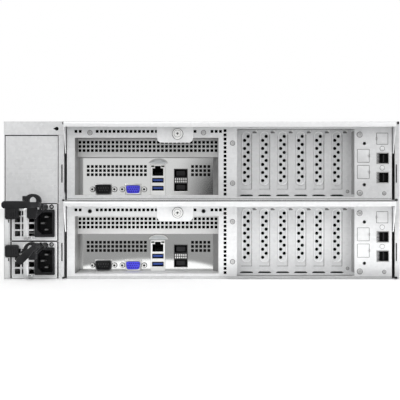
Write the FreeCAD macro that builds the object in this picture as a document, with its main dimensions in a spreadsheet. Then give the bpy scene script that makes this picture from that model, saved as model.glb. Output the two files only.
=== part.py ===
import FreeCAD, Part
import Sketcher
import os
import re

# Rear view is along +Y, X to the right, Z up. Lengths are in millimetres.
DIMENSIONS = {
    # sheet metal and clearances
    "sheet": 1.0,
    "slide_gap": 0.3,
    "screw_fit": 0.05,
    "port_fit": 0.2,
    "cut_past": 1.0,
    # canister face, left to right
    "stile": 8.5,
    "io_margin": 12.7,
    "dsub_width": 30.8,
    "dsub_gap": 3.1,
    "lan_gap": 4.4,
    "lan_width": 16.3,
    "sfp_gap": 10.3,
    "sfp_width": 15.4,
    "vent_zone": 34.6,
    "mullion": 20.3,
    "slot_margin_left": 11.6,
    "slot_margin_right": 16.4,
    "slot_pitch": 20.32,
    "slot_count": 6,
    "port_panel": 41.0,
    # canister face, bottom to top
    "lip_height": 5.0,
    "io_height": 43.0,
    "vent_band": 20.4,
    "top_band": 16.5,
    # canister depths and lid
    "canister_length": 545.0,
    "vent_depth": 27.0,
    "io_depth": 38.0,
    "slot_depth": 22.0,
    "lid_overhang": 15.0,
    "lid_side": 2.0,
    "hem_height": 5.3,
    "skirt_height": 34.0,
    "tab_offset": 119.0,
    "tab_width": 39.8,
    "tab_height": 22.0,
    "tab_corner": 4.0,
    # thumbscrew
    "screw_offset": 2.9,
    "screw_drop": 12.6,
    "screw_head": 5.6,
    "screw_head_height": 9.0,
    "screw_shank": 2.0,
    "screw_reach": 8.0,
    # square vents
    "vent_hole": 3.2,
    "vent_pitch": 4.66,
    "vent_rows": 3,
    "vent_row_drop": 9.6,
    "row_left": 1.3,
    "row_left_count": 2,
    "row_middle": 24.7,
    "row_middle_count": 15,
    "row_single": 132.5,
    "row_right": 151.2,
    "row_right_count": 3,
    "column_inset": 7.2,
    "column_foot": 6.2,
    "column_margin": 10.0,
    "band_side": 2.3,
    "band_drop": 12.8,
    "low_vent_rise": 23.6,
    "low_vent_left": 10.4,
    "low_vent_left_count": 15,
    "low_vent_right": 28.9,
    "low_vent_right_count": 5,
    # expansion slots and the round holes beside them
    "slot_sill": 2.8,
    "slot_head": 6.9,
    "slot_brow": 4.0,
    "slot_opening": 12.2,
    "slot_foot": 11.7,
    "tail_slot": 2.2,
    "tail_rise": 1.2,
    "cover_width": 18.4,
    "cover_lap": 6.0,
    "cover_head": 1.0,
    "cover_hole": 1.9,
    "cover_pitch": 9.06,
    "cover_stagger": 4.0,
    "cover_first": 9.4,
    "cover_rest": 8.0,
    "round_hole": 2.0,
    "round_hole_side": 10.8,
    "round_hole_low": 16.5,
    "round_hole_high": 62.0,
    # storage ports
    "sas_width": 13.3,
    "sas_height": 12.0,
    "sas_pitch": 21.2,
    "sas_inset": 3.3,
    "sas_low": 18.4,
    "sas_length": 30.0,
    "sas_proud": 0.5,
    "sas_depth": 16.0,
    "sas_rim": 2.6,
    "sas_edge": 0.7,
    "sas_wall": 0.9,
    "card_lap": 8.0,
    "card_margin": 10.0,
    # board, its stands and the memory modules
    "board_stand": 3.0,
    "board": 1.6,
    "board_gap": 0.5,
    "board_left": 4.0,
    "board_right": 12.0,
    "board_length": 330.0,
    "stand_size": 6.0,
    "stand_inset": 18.0,
    "stand_first": 20.0,
    "stand_columns": 3,
    "stand_rows": 2,
    "stand_margin": 80.0,
    "stand_pitch": 260.0,
    "memory_inset": 40.0,
    "memory_start": 150.0,
    "memory_length": 134.0,
    "memory_height": 34.0,
    "memory_thick": 4.0,
    "memory_count": 8,
    "memory_pitch": 9.0,
    # D-shaped ports with their posts
    "dsub_height": 12.5,
    "dsub_length": 12.0,
    "dsub_reach": 6.0,
    "shell_foot": 16.4,
    "shell_top": 18.6,
    "shell_height": 11.2,
    "shell_low": 0.65,
    "shell_wall": 0.8,
    "socket_back": 0.6,
    "insert_depth": 1.0,
    "post_radius": 2.6,
    "post_spread": 25.0,
    "post_reach": 5.5,
    # network and USB stack, optical cages
    "port_length": 26.0,
    "port_reach": 1.2,
    "lan_height": 34.6,
    "lan_mouth_drop": 1.6,
    "lan_mouth_height": 11.3,
    "lan_mouth_width": 12.4,
    "usb_low": 4.8,
    "usb_height": 5.4,
    "usb_width": 13.2,
    "usb_pitch": 9.1,
    "socket_depth": 13.0,
    "tongue_width": 10.8,
    "tongue_height": 1.8,
    "tongue_rise": 2.4,
    "tongue_inset": 1.4,
    "tongue_root": 0.5,
    "sfp_rise": 3.6,
    "sfp_height": 26.0,
    "sfp_mouth": 8.6,
    "sfp_wall": 0.7,
    "sfp_length": 46.0,
    "sfp_depth": 40.0,
    "sfp_foot_set": 3.0,
    # heatsinks
    "sink_count": 2,
    "sink_pitch": 96.0,
    "sink_inset": 130.0,
    "sink_start": 165.0,
    "sink_width": 78.0,
    "sink_length": 100.0,
    "sink_base": 9.0,
    "sink_height": 62.0,
    "fin_count": 6,
    "fin_thick": 2.0,
    "fin_root": 1.0,
    # fans
    "fan_count": 4,
    "fan_head": 5.0,
    "fan_gap": 0.6,
    "fan_setback": 120.0,
    "fan_depth": 38.0,
    "fan_wall": 2.0,
    "strut_depth": 5.0,
    "strut_width": 8.0,
    "strut_root": 1.0,
    "hub_radius": 17.0,
    "rotor_start": 6.0,
    "blade_start": 8.0,
    "blade_width": 22.0,
    "blade_thick": 6.0,
    "blade_gap": 3.0,
    "blade_root": 3.0,
    # power supply
    "psu_width": 50.0,
    "psu_height": 40.0,
    "psu_length": 300.0,
    "psu_side_gap": 1.6,
    "grille_hole": 6.0,
    "grille_pitch": 7.7,
    "grille_edge": 3.4,
    "grille_foot": 4.6,
    "grille_count": 3,
    "grille_odd": 4.8,
    "converter_start": 40.0,
    "converter_rise": 6.0,
    "converter_tongue": 6.0,
    # mains inlet
    "inlet_left": 25.1,
    "inlet_foot": 3.7,
    "inlet_width": 22.4,
    "inlet_height": 30.4,
    "inlet_rim": 1.5,
    "inlet_length": 22.0,
    "inlet_lap": 1.4,
    "inlet_wall": 3.0,
    "inlet_chamfer": 5.0,
    "inlet_bottom": 5.0,
    "inlet_root": 0.5,
    "pin_recess": 2.0,
    "pin_width": 4.0,
    "pin_thick": 2.0,
    "pin_earth": 6.2,
    "pin_live": 10.6,
    "pin_spread": 7.0,
    # pull handle
    "handle_offset": 19.5,
    "handle_width": 5.0,
    "handle_bar": 3.0,
    "handle_reach": 24.0,
    "handle_inset": 1.0,
    "handle_corner": 4.0,
    "handle_inner": 3.0,
    # release latch
    "latch_width": 14.4,
    "latch_height": 13.5,
    "latch_reach": 9.0,
    "latch_travel": 3.0,
    "latch_drop": 3.0,
    "latch_offset": 8.4,
    "stem_inset": 3.0,
    "stem_width": 4.0,
    "stem_rise": 4.0,
    "stem_height": 5.0,
    "stem_lap": 2.0,
    "stem_reach": 10.0,
    "rib_count": 4,
    "rib_pitch": 2.6,
    "rib_width": 1.0,
    "rib_depth": 1.0,
    "rib_inset": 2.0,
    # cord strap and clamp
    "strap_offset": 38.1,
    "strap_drop": 3.0,
    "strap_width": 5.0,
    "strap_foot": 2.8,
    "strap_foot_height": 2.0,
    "strap_thick": 1.6,
    "strap_run": 46.0,
    "strap_bend": 14.0,
    "lower_tail": 12.0,
    "upper_tail": 23.0,
    "lower_lean": -45.0,
    "upper_lean": 0.0,
    "ring_outer": 7.4,
    "ring_inner": 4.3,
    "ring_across": 10.6,
    "ring_rise": 6.2,
    "ring_length": 8.0,
    "ring_seat": 0.6,
    "ring_lap": 0.5,
    "clamp_wall": 1.0,
    "clamp_stand": 26.5,
    "ratchet_out": 1.2,
    "ratchet_width": 5.0,
    "ratchet_low": 1.0,
    "ratchet_height": 5.0,
    # chassis
    "left_flange": 6.0,
    "right_flange": 4.0,
    "divider_strip": 6.0,
    "bay_clear": 3.3,
    "cover_lip": 14.8,
    "strip_slot": 1.4,
    "strip_slot_height": 20.0,
    "strip_slot_level": 28.9,
    "strip_slot_edge": 0.6,
    "shelf_flange": 8.0,
    "blank_seam": 0.8,
    "blank_return": 14.0,
    # drive bays and midplane
    "mid_gap": 8.0,
    "midplane": 3.0,
    "drive_gap": 8.0,
    "cage_wall": 1.4,
    "bay_gap": 0.4,
    "bay_columns": 4,
    "bay_levels": 4,
    "window_left": 12.0,
    "window_width": 50.0,
    "window_rise": 8.0,
    "window_height": 12.0,
    "window_rows": 2,
    "plug_depth": 6.0,
    "plug_right": 20.0,
    "plug_width": 100.0,
    "plug_low": 24.0,
    "plug_height": 10.0,
    # drive carriers
    "carrier_length": 196.0,
    "carrier_sheet": 1.2,
    "carrier_side": 16.0,
    "bezel": 14.0,
    "bezel_first": 8.0,
    "bezel_edge": 5.0,
    "bezel_opening": 26.0,
    "bezel_pitch": 30.0,
    "bezel_count": 2,
    "drive_set": 4.0,
    "drive_length": 147.0,
    "drive_head": 1.0,
    "lever_length": 26.0,
    "lever_inset": 4.0,
    "lever_thick": 3.0,
    # front panel and button
    "front_panel": 46.0,
    "intake_return": 20.0,
    "intake_sheet": 2.0,
    "slit_start": 60.0,
    "slit_width": 9.0,
    "slit_pitch": 18.0,
    "slit_margin": 9.0,
    "slit_rest": 130.0,
    "button_radius": 6.0,
    "button_proud": 1.5,
    "button_inset": 30.0,
    "button_depth": 8.0,
    "button_flange": 2.0,
    "button_travel": 3.0,
    # rack ears and their grips
    "ear_width": 23.5,
    "ear_sheet": 2.5,
    "ear_return": 60.0,
    "ear_hole": 3.4,
    "ear_slot": 3.5,
    "ear_inset": 8.75,
    "ear_rise": 101.6,
    "grip_bar": 8.0,
    "grip_height": 86.0,
    "grip_reach": 38.0,
    "grip_corner": 5.0,
    "grip_inner": 3.0,
}

# Lengths and places that follow from the sizes above.
FORMULAS = {
    "io_window": "io_margin + 2*dsub_width + dsub_gap + lan_gap + lan_width + sfp_gap + sfp_width + vent_zone",
    "slot_window": "slot_margin_left + (slot_count - 1)*slot_pitch + slot_margin_right",
    "canister_width": "stile + io_window + mullion + slot_window + port_panel",
    "canister_height": "lip_height + io_height + vent_band + top_band",
    "psu_bay": "psu_width + 2*psu_side_gap",
    "bay_inner": "canister_width + 2*bay_clear",
    "chassis_width": "2*sheet + left_flange + psu_bay + divider_strip + bay_inner + right_flange",
    "chassis_height": "2*canister_height + 3*sheet + 4*slide_gap",
    "chassis_depth": "canister_length + mid_gap + midplane + drive_gap + carrier_length",
    "left": "-chassis_width/2",
    "right": "chassis_width/2",
    "rear": "-chassis_depth/2",
    "front": "chassis_depth/2",
    "wall_top": "chassis_height - sheet",
    "notch_low": "can_floor + strip_slot_level - strip_slot_height/2",
    # supply bays
    "psu_left": "left + sheet + left_flange + psu_side_gap",
    "psu_right": "psu_left + psu_width",
    "psu_floor": "sheet + slide_gap",
    "psu_top": "psu_floor + psu_height",
    "psu_end": "rear + psu_length",
    "psu_step": "psu_height + sheet + 2*slide_gap",
    "psu_shelf": "psu_floor + psu_step - slide_gap",
    "psu_roof": "psu_floor + 2*psu_step - slide_gap - sheet",
    "blank_low": "psu_roof + sheet",
    "strip_left": "psu_right + psu_side_gap",
    "strip_right": "strip_left + divider_strip",
    # canister
    "can_left": "strip_right + bay_clear",
    "can_right": "can_left + canister_width",
    "can_floor": "sheet + slide_gap",
    "can_top": "can_floor + canister_height",
    "can_step": "canister_height + sheet + 2*slide_gap",
    "can_end": "rear + canister_length",
    "tray_top": "can_top - sheet",
    "shelf_low": "can_top + slide_gap",
    "shelf_top": "shelf_low + sheet",
    "io_left": "can_left + stile",
    "io_right": "io_left + io_window",
    "io_bottom": "can_floor + lip_height",
    "io_top": "io_bottom + io_height",
    "window_top": "io_top + vent_band",
    "slots_left": "io_right + mullion",
    "slots_right": "slots_left + slot_window",
    "slots_low": "can_floor + slot_sill",
    "slots_top": "can_top - slot_head",
    "slot_first": "slots_left + slot_margin_left",
    "slot_plane": "rear + slot_depth",
    "vent_plane": "rear + vent_depth",
    "io_plane": "rear + io_depth",
    "grip_edge": "rear - lid_overhang",
    "tab_middle": "can_left + tab_offset",
    "tab_low": "can_top - tab_height",
    "screw_x": "tab_middle + screw_offset",
    "screw_z": "can_top - screw_drop",
    "vent_row": "can_top - vent_row_drop",
    # boards, ports and fans
    "board_top": "can_floor + sheet + board_stand + board",
    "board_rear": "io_plane + sheet + board_gap",
    "serial_x": "io_left + io_margin + dsub_width/2",
    "display_x": "serial_x + dsub_width + dsub_gap",
    "lan_x": "display_x + dsub_width/2 + lan_gap + lan_width/2",
    "sfp_x": "lan_x + lan_width/2 + sfp_gap + sfp_width/2",
    "sas_x": "can_right - sas_inset - sas_width/2",
    "sas_floor": "can_floor + sas_low",
    "port_face": "io_plane - port_reach",
    "shell_floor": "board_top + shell_low",
    "lan_top": "board_top + lan_height",
    "mouth_top": "lan_top - lan_mouth_drop",
    "sfp_low": "board_top + sfp_rise",
    "sfp_top": "sfp_low + sfp_height",
    "sink_left": "can_left + sink_inset",
    "sink_rear": "board_rear + sink_start",
    "fan_size": "canister_height - fan_head",
    "fan_x": "can_left + canister_width/(2*fan_count)",
    "fan_z": "can_floor + sheet + fan_size/2",
    "fan_rear": "can_end - fan_setback",
    "fan_step": "canister_width/fan_count - fan_gap",
    # supply face
    "grille_left": "psu_left + grille_edge",
    "grille_low": "psu_floor + grille_foot",
    "inlet_x": "psu_left + inlet_left",
    "inlet_z": "psu_floor + inlet_foot",
    "pin_z": "inlet_z + inlet_height/2",
    "latch_low": "psu_top - latch_drop - latch_height",
    "latch_right": "psu_left + latch_offset",
    "latch_left": "latch_right - latch_width",
    "stem_left": "psu_left + stem_inset",
    "stem_low": "latch_low + stem_rise",
    "strap_x": "psu_left + strap_offset",
    "strap_z": "psu_top - strap_drop",
    # drive bays and front
    "cage_rear": "can_end + mid_gap + midplane",
    "cage_width": "chassis_width - 2*sheet - 2*slide_gap",
    "cage_height": "chassis_height - 2*sheet - front_panel",
    "bay_step_x": "(cage_width - cage_wall)/bay_columns",
    "bay_step_z": "(cage_height - cage_wall)/bay_levels",
    "carrier_width": "bay_step_x - cage_wall - 2*bay_gap",
    "carrier_height": "bay_step_z - cage_wall - 2*bay_gap",
    "carrier_left": "-cage_width/2 + cage_wall + bay_gap",
    "carrier_right": "carrier_left + carrier_width",
    "carrier_floor": "sheet + cage_wall + bay_gap",
    "carrier_top": "carrier_floor + carrier_height",
    "carrier_back": "front - carrier_length",
    "bezel_back": "front - bezel",
    "plug_face": "cage_rear - midplane",
    "plug_left": "can_right - plug_right - plug_width",
    "intake_low": "sheet + cage_height",
    "button_x": "left + button_inset",
    "button_z": "intake_low + front_panel/2",
    "grip_low": "chassis_height/2 - grip_height/2",
    "grip_top": "chassis_height/2 + grip_height/2",
    "grip_front": "front + grip_reach",
}

WORD = re.compile(r"[a-z][a-z_]*[a-z]")


def spelled(formula):
    # Replaces each name in a formula by its own formula or by its cell in the sheet.
    def swap(match):
        name = match.group(0)
        if name in FORMULAS:
            return "(" + spelled(FORMULAS[name]) + ")"
        if name in DIMENSIONS:
            return "Dims." + name
        return name
    return WORD.sub(swap, formula)


doc = FreeCAD.newDocument("rack_server")
dims = doc.addObject("Spreadsheet::Sheet", "Dims")
for row, (name, value) in enumerate(DIMENSIONS.items(), 1):
    dims.set(f"A{row}", name)
    dims.set(f"B{row}", str(value))
    dims.setAlias(f"B{row}", name)
doc.recompute()

pieces = {}
known = {}


def length_of(formula):
    # Present value of a formula, for the first sketch of an outline.
    if formula not in known:
        known[formula] = float(dims.evalExpression(spelled(formula)))
    return known[formula]


def bind(item, setting, formula):
    item.setExpression(setting, spelled(formula))


def start(label):
    # New body; a body that is later gathered with others loses its place as a piece of its own.
    body = doc.addObject("PartDesign::Body", label)
    body.Label = label
    pieces[label] = body
    return body


def gather(label, bodies):
    # One named piece made of several separate solids.
    for body in bodies:
        del pieces[body.Label]
    group = doc.addObject("Part::Compound", label)
    group.Label = label
    group.Links = bodies
    pieces[label] = group
    return group


def rectangle(u_low, u_high, v_low, v_high):
    return [(u_low, v_low), (u_high, v_low), (u_high, v_high), (u_low, v_high)]


def vent(middle_x, middle_z):
    # Square vent hole about a middle.
    return rectangle(f"{middle_x} - vent_hole/2", f"{middle_x} + vent_hole/2",
                     f"{middle_z} - vent_hole/2", f"{middle_z} + vent_hole/2")


def arc(middle_u, middle_v, radius, begin, end, steps):
    # Corners along a circular arc between two angles in degrees.
    turns = [begin + (end - begin) * step / steps for step in range(steps + 1)]
    return [(f"{middle_u} + ({radius})*cos({turn})", f"{middle_v} + ({radius})*sin({turn})") for turn in turns]


def many_sided(middle_u, middle_v, radius, sides):
    return arc(middle_u, middle_v, radius, 0, 360 - 360 / sides, sides - 1)


def sketch_on(body, plane, at, loops=(), circles=()):
    # Draws closed outlines and circles on a plane parallel to one of the body's own planes.
    made = body.newObject("Sketcher::SketchObject", "outline")
    support = next(face for face in body.Origin.OriginFeatures if face.Role == plane + "_Plane")
    made.AttachmentSupport = (support, [""])
    made.MapMode = "FlatFace"
    bind(made, "AttachmentOffset.Base.z", f"-({at})" if plane == "XZ" else at)
    for corners in loops:
        first = made.GeometryCount
        count = len(corners)
        points = [FreeCAD.Vector(length_of(u), length_of(v), 0) for u, v in corners]
        for index in range(count):
            made.addGeometry(Part.LineSegment(points[index], points[(index + 1) % count]))
        for index in range(count):
            after = first + (index + 1) % count
            made.addConstraint(Sketcher.Constraint("Coincident", first + index, 2, after, 1))
        for index, (u, v) in enumerate(corners):
            place(made, first + index, 1, points[index], u, v)
    for u, v, radius in circles:
        middle = FreeCAD.Vector(length_of(u), length_of(v), 0)
        index = made.addGeometry(Part.Circle(middle, FreeCAD.Vector(0, 0, 1), length_of(radius)))
        place(made, index, 3, middle, u, v)
        limit = made.addConstraint(Sketcher.Constraint("Radius", index, length_of(radius)))
        bind(made, f"Constraints[{limit}]", radius)
    return made


def place(made, index, end, point, u, v):
    # Ties one point of a sketch to its two distances from the sketch's origin.
    across = made.addConstraint(Sketcher.Constraint("DistanceX", -1, 1, index, end, point.x))
    bind(made, f"Constraints[{across}]", u)
    upward = made.addConstraint(Sketcher.Constraint("DistanceY", -1, 1, index, end, point.y))
    bind(made, f"Constraints[{upward}]", v)


def extrude(body, kind, plane, low, high, loops, circles):
    # Pad or pocket between two planes, symmetric about the plane halfway.
    made = body.newObject("PartDesign::" + kind, kind.lower())
    made.Profile = sketch_on(body, plane, f"({low} + {high})/2", loops, circles)
    made.SideType = "Symmetric"
    bind(made, "Length", f"{high} - ({low})")
    made.Refine = False
    body.Tip = made
    doc.recompute()
    return made


def add(body, plane, low, high, loops=(), circles=()):
    return extrude(body, "Pad", plane, low, high, loops, circles)


def carve(body, plane, low, high, loops=(), circles=()):
    return extrude(body, "Pocket", plane, low, high, loops, circles)


def repeat(body, feature, count_u="1", step_u="1", count_v="1", step_v="1"):
    # Repeats a feature along the two axes of its own sketch.
    made = body.newObject("PartDesign::LinearPattern", "repeat")
    made.Originals = [feature]
    outline = feature.Profile[0]
    made.Direction = (outline, ["H_Axis"])
    made.Direction2 = (outline, ["V_Axis"])
    bind(made, "Length", f"max(1; {count_u} - 1)*({step_u})")
    bind(made, "Length2", f"max(1; {count_v} - 1)*({step_v})")
    bind(made, "Occurrences", count_u)
    bind(made, "Occurrences2", count_v)
    made.Refine = False
    body.Tip = made
    doc.recompute()


def repeat_all(body, feature, axis, count, step):
    # Repeats the whole body so far along one axis of one feature's sketch.
    made = body.newObject("PartDesign::LinearPattern", "repeat")
    made.TransformMode = "Whole shape"
    made.Direction = (feature.Profile[0], [axis])
    bind(made, "Length", f"max(1; {count} - 1)*({step})")
    bind(made, "Occurrences", count)
    made.Refine = False
    body.Tip = made
    doc.recompute()


def copy_of(label, body, x="0", z="0"):
    link = doc.addObject("App::Link", label)
    link.Label = label
    link.LinkedObject = body
    bind(link, "Placement.Base.x", x)
    bind(link, "Placement.Base.z", z)
    pieces[label] = link


# Chassis shell: folded floor and side walls, with narrow flanges at the rear.
shell = start("chassis_shell")
add(shell, "XZ", "rear", "front", [[
    ("left", "0"), ("right", "0"), ("right", "wall_top"), ("right - sheet", "wall_top"),
    ("right - sheet", "sheet"), ("left + sheet", "sheet"), ("left + sheet", "wall_top"), ("left", "wall_top")]])
add(shell, "XZ", "rear", "rear + sheet", [
    rectangle("left + sheet/2", "left + sheet + left_flange", "sheet/2", "psu_roof"),
    rectangle("right - sheet - right_flange", "right - sheet/2", "sheet/2", "wall_top")])
notch = carve(shell, "XZ", "rear - sheet", "rear + 2*sheet", [rectangle(
    "right - right_flange", "right - right_flange + strip_slot", "notch_low", "notch_low + strip_slot_height")])
repeat(shell, notch, count_v="2", step_v="can_step")

# Top cover: flat sheet, its left rear edge folded down over the power column.
cover = start("top_cover")
add(cover, "XY", "wall_top", "chassis_height", [[
    ("left", "rear - sheet"), ("strip_right", "rear - sheet"), ("strip_right", "rear"),
    ("right", "rear"), ("right", "front"), ("left", "front")]])
add(cover, "XZ", "rear - sheet", "rear", [rectangle(
    "left", "strip_right", "chassis_height - cover_lip", "chassis_height - sheet/2")])

# Power cage: dividing wall with the rear strip and the two shelves of the supply bays.
cage = start("power_cage")
add(cage, "XZ", "rear", "can_end", [rectangle("strip_right - sheet", "strip_right", "sheet", "wall_top")])
add(cage, "XZ", "rear", "rear + sheet", [rectangle("strip_left", "strip_right - sheet/2", "sheet", "wall_top")])
add(cage, "XZ", "rear + sheet", "psu_end", [
    rectangle("left + sheet", "strip_right - sheet/2", "psu_shelf - sheet", "psu_shelf"),
    rectangle("left + sheet", "strip_right - sheet/2", "psu_roof", "psu_roof + sheet")])
notch_right = "strip_right - sheet - strip_slot_edge"
notch = carve(cage, "XZ", "rear - sheet", "rear + sheet", [rectangle(
    notch_right + " - strip_slot", notch_right, "notch_low", "notch_low + strip_slot_height")])
repeat(cage, notch, count_v="2", step_v="can_step")

# Blank panel over the supplies, with a top and a bottom flange turned inwards.
blank = start("blank_panel")
add(blank, "YZ", "left + sheet + blank_seam", "strip_left - blank_seam", [[
    ("rear", "blank_low"), ("rear + blank_return", "blank_low"), ("rear + blank_return", "blank_low + sheet"),
    ("rear + sheet", "blank_low + sheet"), ("rear + sheet", "wall_top - sheet"),
    ("rear + blank_return", "wall_top - sheet"), ("rear + blank_return", "wall_top"), ("rear", "wall_top")]])

# Shelf between the two canisters, its side flanges turned up.
shelf = start("canister_shelf")
flange_top = "shelf_top + shelf_flange"
add(shelf, "XZ", "rear + sheet", "can_end", [[
    ("strip_right", "shelf_low"), ("right - sheet", "shelf_low"), ("right - sheet", flange_top),
    ("right - 2*sheet", flange_top), ("right - 2*sheet", "shelf_top"), ("strip_right + sheet", "shelf_top"),
    ("strip_right + sheet", flange_top), ("strip_right", flange_top)]])
add(shelf, "XZ", "rear", "rear + 2*sheet", [rectangle(
    "strip_right", "right - sheet - right_flange", "shelf_low", "shelf_top")])

# Canister tray: folded floor and sides with posts for the board.
tray = start("lower_tray")
add(tray, "XZ", "rear + sheet", "can_end", [[
    ("can_left", "can_floor"), ("can_right", "can_floor"), ("can_right", "tray_top"),
    ("can_right - sheet", "tray_top"), ("can_right - sheet", "can_floor + sheet"),
    ("can_left + sheet", "can_floor + sheet"), ("can_left + sheet", "tray_top"), ("can_left", "tray_top")]])
stand_left = "can_left + stand_inset"
stand_rear = "io_plane + sheet + stand_first"
stand = add(tray, "XY", "can_floor + sheet/2", "can_floor + sheet + board_stand", [rectangle(
    stand_left, stand_left + " + stand_size", stand_rear, stand_rear + " + stand_size")])
repeat(tray, stand, "stand_columns", "(canister_width - stand_margin)/(stand_columns - 1)",
       "stand_rows", "stand_pitch")

# Canister rear panel: perforated face, with the slot recess formed behind its right window.
panel = start("lower_rear_panel")
through = ("rear - sheet", "rear + 2*sheet")
add(panel, "XZ", "rear", "rear + sheet", [rectangle("can_left", "can_right", "can_floor", "tray_top")])
carve(panel, "XZ", *through, [
    rectangle("io_left", "io_right", "io_bottom", "window_top"),
    rectangle("slots_left", "slots_right", "slots_low", "slots_top"),
    vent("io_left + row_single", "vent_row")])
for first in ("row_left", "row_middle", "row_right"):
    hole = carve(panel, "XZ", *through, [vent("io_left + " + first, "vent_row")])
    repeat(panel, hole, first + "_count", "vent_pitch")
hole = carve(panel, "XZ", *through, [vent("io_right + column_inset", "can_floor + column_foot")])
repeat(panel, hole, count_v="floor((canister_height - column_margin)/vent_pitch)", step_v="vent_pitch")
sas_cut = carve(panel, "XZ", *through, [rectangle(
    "sas_x - sas_width/2 - port_fit", "sas_x + sas_width/2 + port_fit",
    "sas_floor - port_fit", "sas_floor + sas_height + port_fit")])
repeat(panel, sas_cut, count_v="2", step_v="sas_pitch")
carve(panel, "XZ", *through, [
    many_sided("slots_right + round_hole_side", "can_floor + round_hole_low", "round_hole", 6),
    many_sided("slots_right + round_hole_side", "can_floor + round_hole_high", "round_hole", 6)])
carve(panel, "XZ", *through, circles=[("screw_x", "screw_z", "screw_shank + screw_fit")])
add(panel, "XZ", "rear + sheet/2", "slot_plane + sheet", [
    rectangle("slots_left - sheet", "slots_left", "slots_low - sheet", "slots_top + sheet"),
    rectangle("slots_right", "slots_right + sheet", "slots_low - sheet", "slots_top + sheet")])
add(panel, "XZ", "slot_plane", "slot_plane + sheet", [rectangle(
    "slots_left - sheet/2", "slots_right + sheet/2", "slots_low - sheet", "slots_top + sheet")])
opening_left = "slot_first - slot_opening/2"
opening_right = "slot_first + slot_opening/2"
opening = carve(panel, "XZ", "slot_plane - sheet", "slot_plane + 2*sheet", [
    rectangle(opening_left, opening_right, "can_floor + slot_foot", "slots_top - slot_brow"),
    rectangle(opening_left, opening_right, "slots_low + tail_rise", "slots_low + tail_rise + tail_slot")])
repeat(panel, opening, "slot_count", "slot_pitch")


def shell_outline(middle, grow):
    # Outline of a D-shaped port, wider at the top, grown all round.
    low = f"shell_floor - ({grow})"
    high = f"shell_floor + shell_height + {grow}"
    return [(f"{middle} - shell_foot/2 - ({grow})", low), (f"{middle} + shell_foot/2 + {grow}", low),
            (f"{middle} + shell_top/2 + {grow}", high), (f"{middle} - shell_top/2 - ({grow})", high)]


def port_hole(middle, width, low, high):
    # Hole in the recessed panel round a port, with the clearance all round.
    return rectangle(f"{middle} - {width}/2 - port_fit", f"{middle} + {width}/2 + port_fit",
                     f"{low} - port_fit", f"{high} + port_fit")


# Recessed panel: one bent sheet that steps back below the vent rows, closed at both sides.
recess = start("lower_io_panel")
inside = "rear + sheet"
add(recess, "YZ", "io_left - sheet", "io_right + sheet", [[
    (inside, "window_top + sheet"), ("vent_plane + sheet", "window_top + sheet"),
    ("vent_plane + sheet", "io_top + sheet"), ("io_plane + sheet", "io_top + sheet"),
    ("io_plane + sheet", "io_bottom - sheet"), (inside, "io_bottom - sheet"), (inside, "io_bottom"),
    ("io_plane", "io_bottom"), ("io_plane", "io_top"), ("vent_plane", "io_top"),
    ("vent_plane", "window_top"), (inside, "window_top")]])
cheek = [
    (inside, "io_bottom - sheet/2"), ("io_plane + sheet/2", "io_bottom - sheet/2"),
    ("io_plane + sheet/2", "io_top + sheet/2"), ("vent_plane + sheet/2", "io_top + sheet/2"),
    ("vent_plane + sheet/2", "window_top + sheet/2"), (inside, "window_top + sheet/2")]
add(recess, "YZ", "io_left - sheet", "io_left", [cheek])
add(recess, "YZ", "io_right", "io_right + sheet", [cheek])
hole = carve(recess, "XZ", "vent_plane - sheet", "vent_plane + 2*sheet", [
    vent("io_left + band_side", "window_top - band_drop")])
repeat(recess, hole, "floor((io_window - 2*band_side)/vent_pitch) + 1", "vent_pitch", "vent_rows", "vent_pitch")
deep = ("io_plane - sheet", "io_plane + 2*sheet")
for first, count in (("io_left + low_vent_left", "low_vent_left_count"),
                     ("io_right - low_vent_right", "low_vent_right_count")):
    hole = carve(recess, "XZ", *deep, [vent(first, "io_bottom + low_vent_rise")])
    repeat(recess, hole, count, "vent_pitch", "vent_rows", "vent_pitch")
carve(recess, "XZ", *deep, [
    shell_outline("serial_x", "port_fit"), shell_outline("display_x", "port_fit"),
    port_hole("lan_x", "lan_width", "board_top", "lan_top"),
    port_hole("sfp_x", "sfp_width", "sfp_low", "sfp_top")])

# Lid: top sheet with a rear grip edge, tapered side skirts and a screw tab.
lid = start("lower_lid")
add(lid, "YZ", "can_left - lid_side", "can_right + lid_side", [[
    ("grip_edge", "can_top"), ("grip_edge", "can_top - hem_height"), ("grip_edge + sheet", "can_top - hem_height"),
    ("grip_edge + sheet", "tray_top"), ("can_end", "tray_top"), ("can_end", "can_top")]])
skirt = [
    ("grip_edge + sheet/2", "can_top - sheet/2"), ("grip_edge + sheet/2", "can_top - hem_height"),
    ("rear", "can_top - skirt_height"), ("can_end", "can_top - skirt_height"), ("can_end", "can_top - sheet/2")]
add(lid, "YZ", "can_left - lid_side", "can_left - lid_side + sheet", [skirt])
add(lid, "YZ", "can_right + lid_side - sheet", "can_right + lid_side", [skirt])
tab_left = "tab_middle - tab_width/2"
tab_right = "tab_middle + tab_width/2"
add(lid, "XZ", "rear - sheet", "rear", [[
    (tab_left, "can_top - sheet/2"), (tab_left, "tab_low + tab_corner"),
    (tab_left + " + tab_corner", "tab_low"), (tab_right + " - tab_corner", "tab_low"),
    (tab_right, "tab_low + tab_corner"), (tab_right, "can_top - sheet/2")]])
carve(lid, "XZ", "rear - 2*sheet", "rear + sheet", circles=[("screw_x", "screw_z", "screw_shank + screw_fit")])

# Captive thumbscrew: grip head on the tab and a round shank through the panel.
screw = start("lower_thumbscrew")
add(screw, "XZ", "rear - sheet - screw_head_height", "rear - sheet", [
    many_sided("screw_x", "screw_z", "screw_head", 16)])
add(screw, "XZ", "rear - 2*sheet", "rear + screw_reach", circles=[("screw_x", "screw_z", "screw_shank")])

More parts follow.
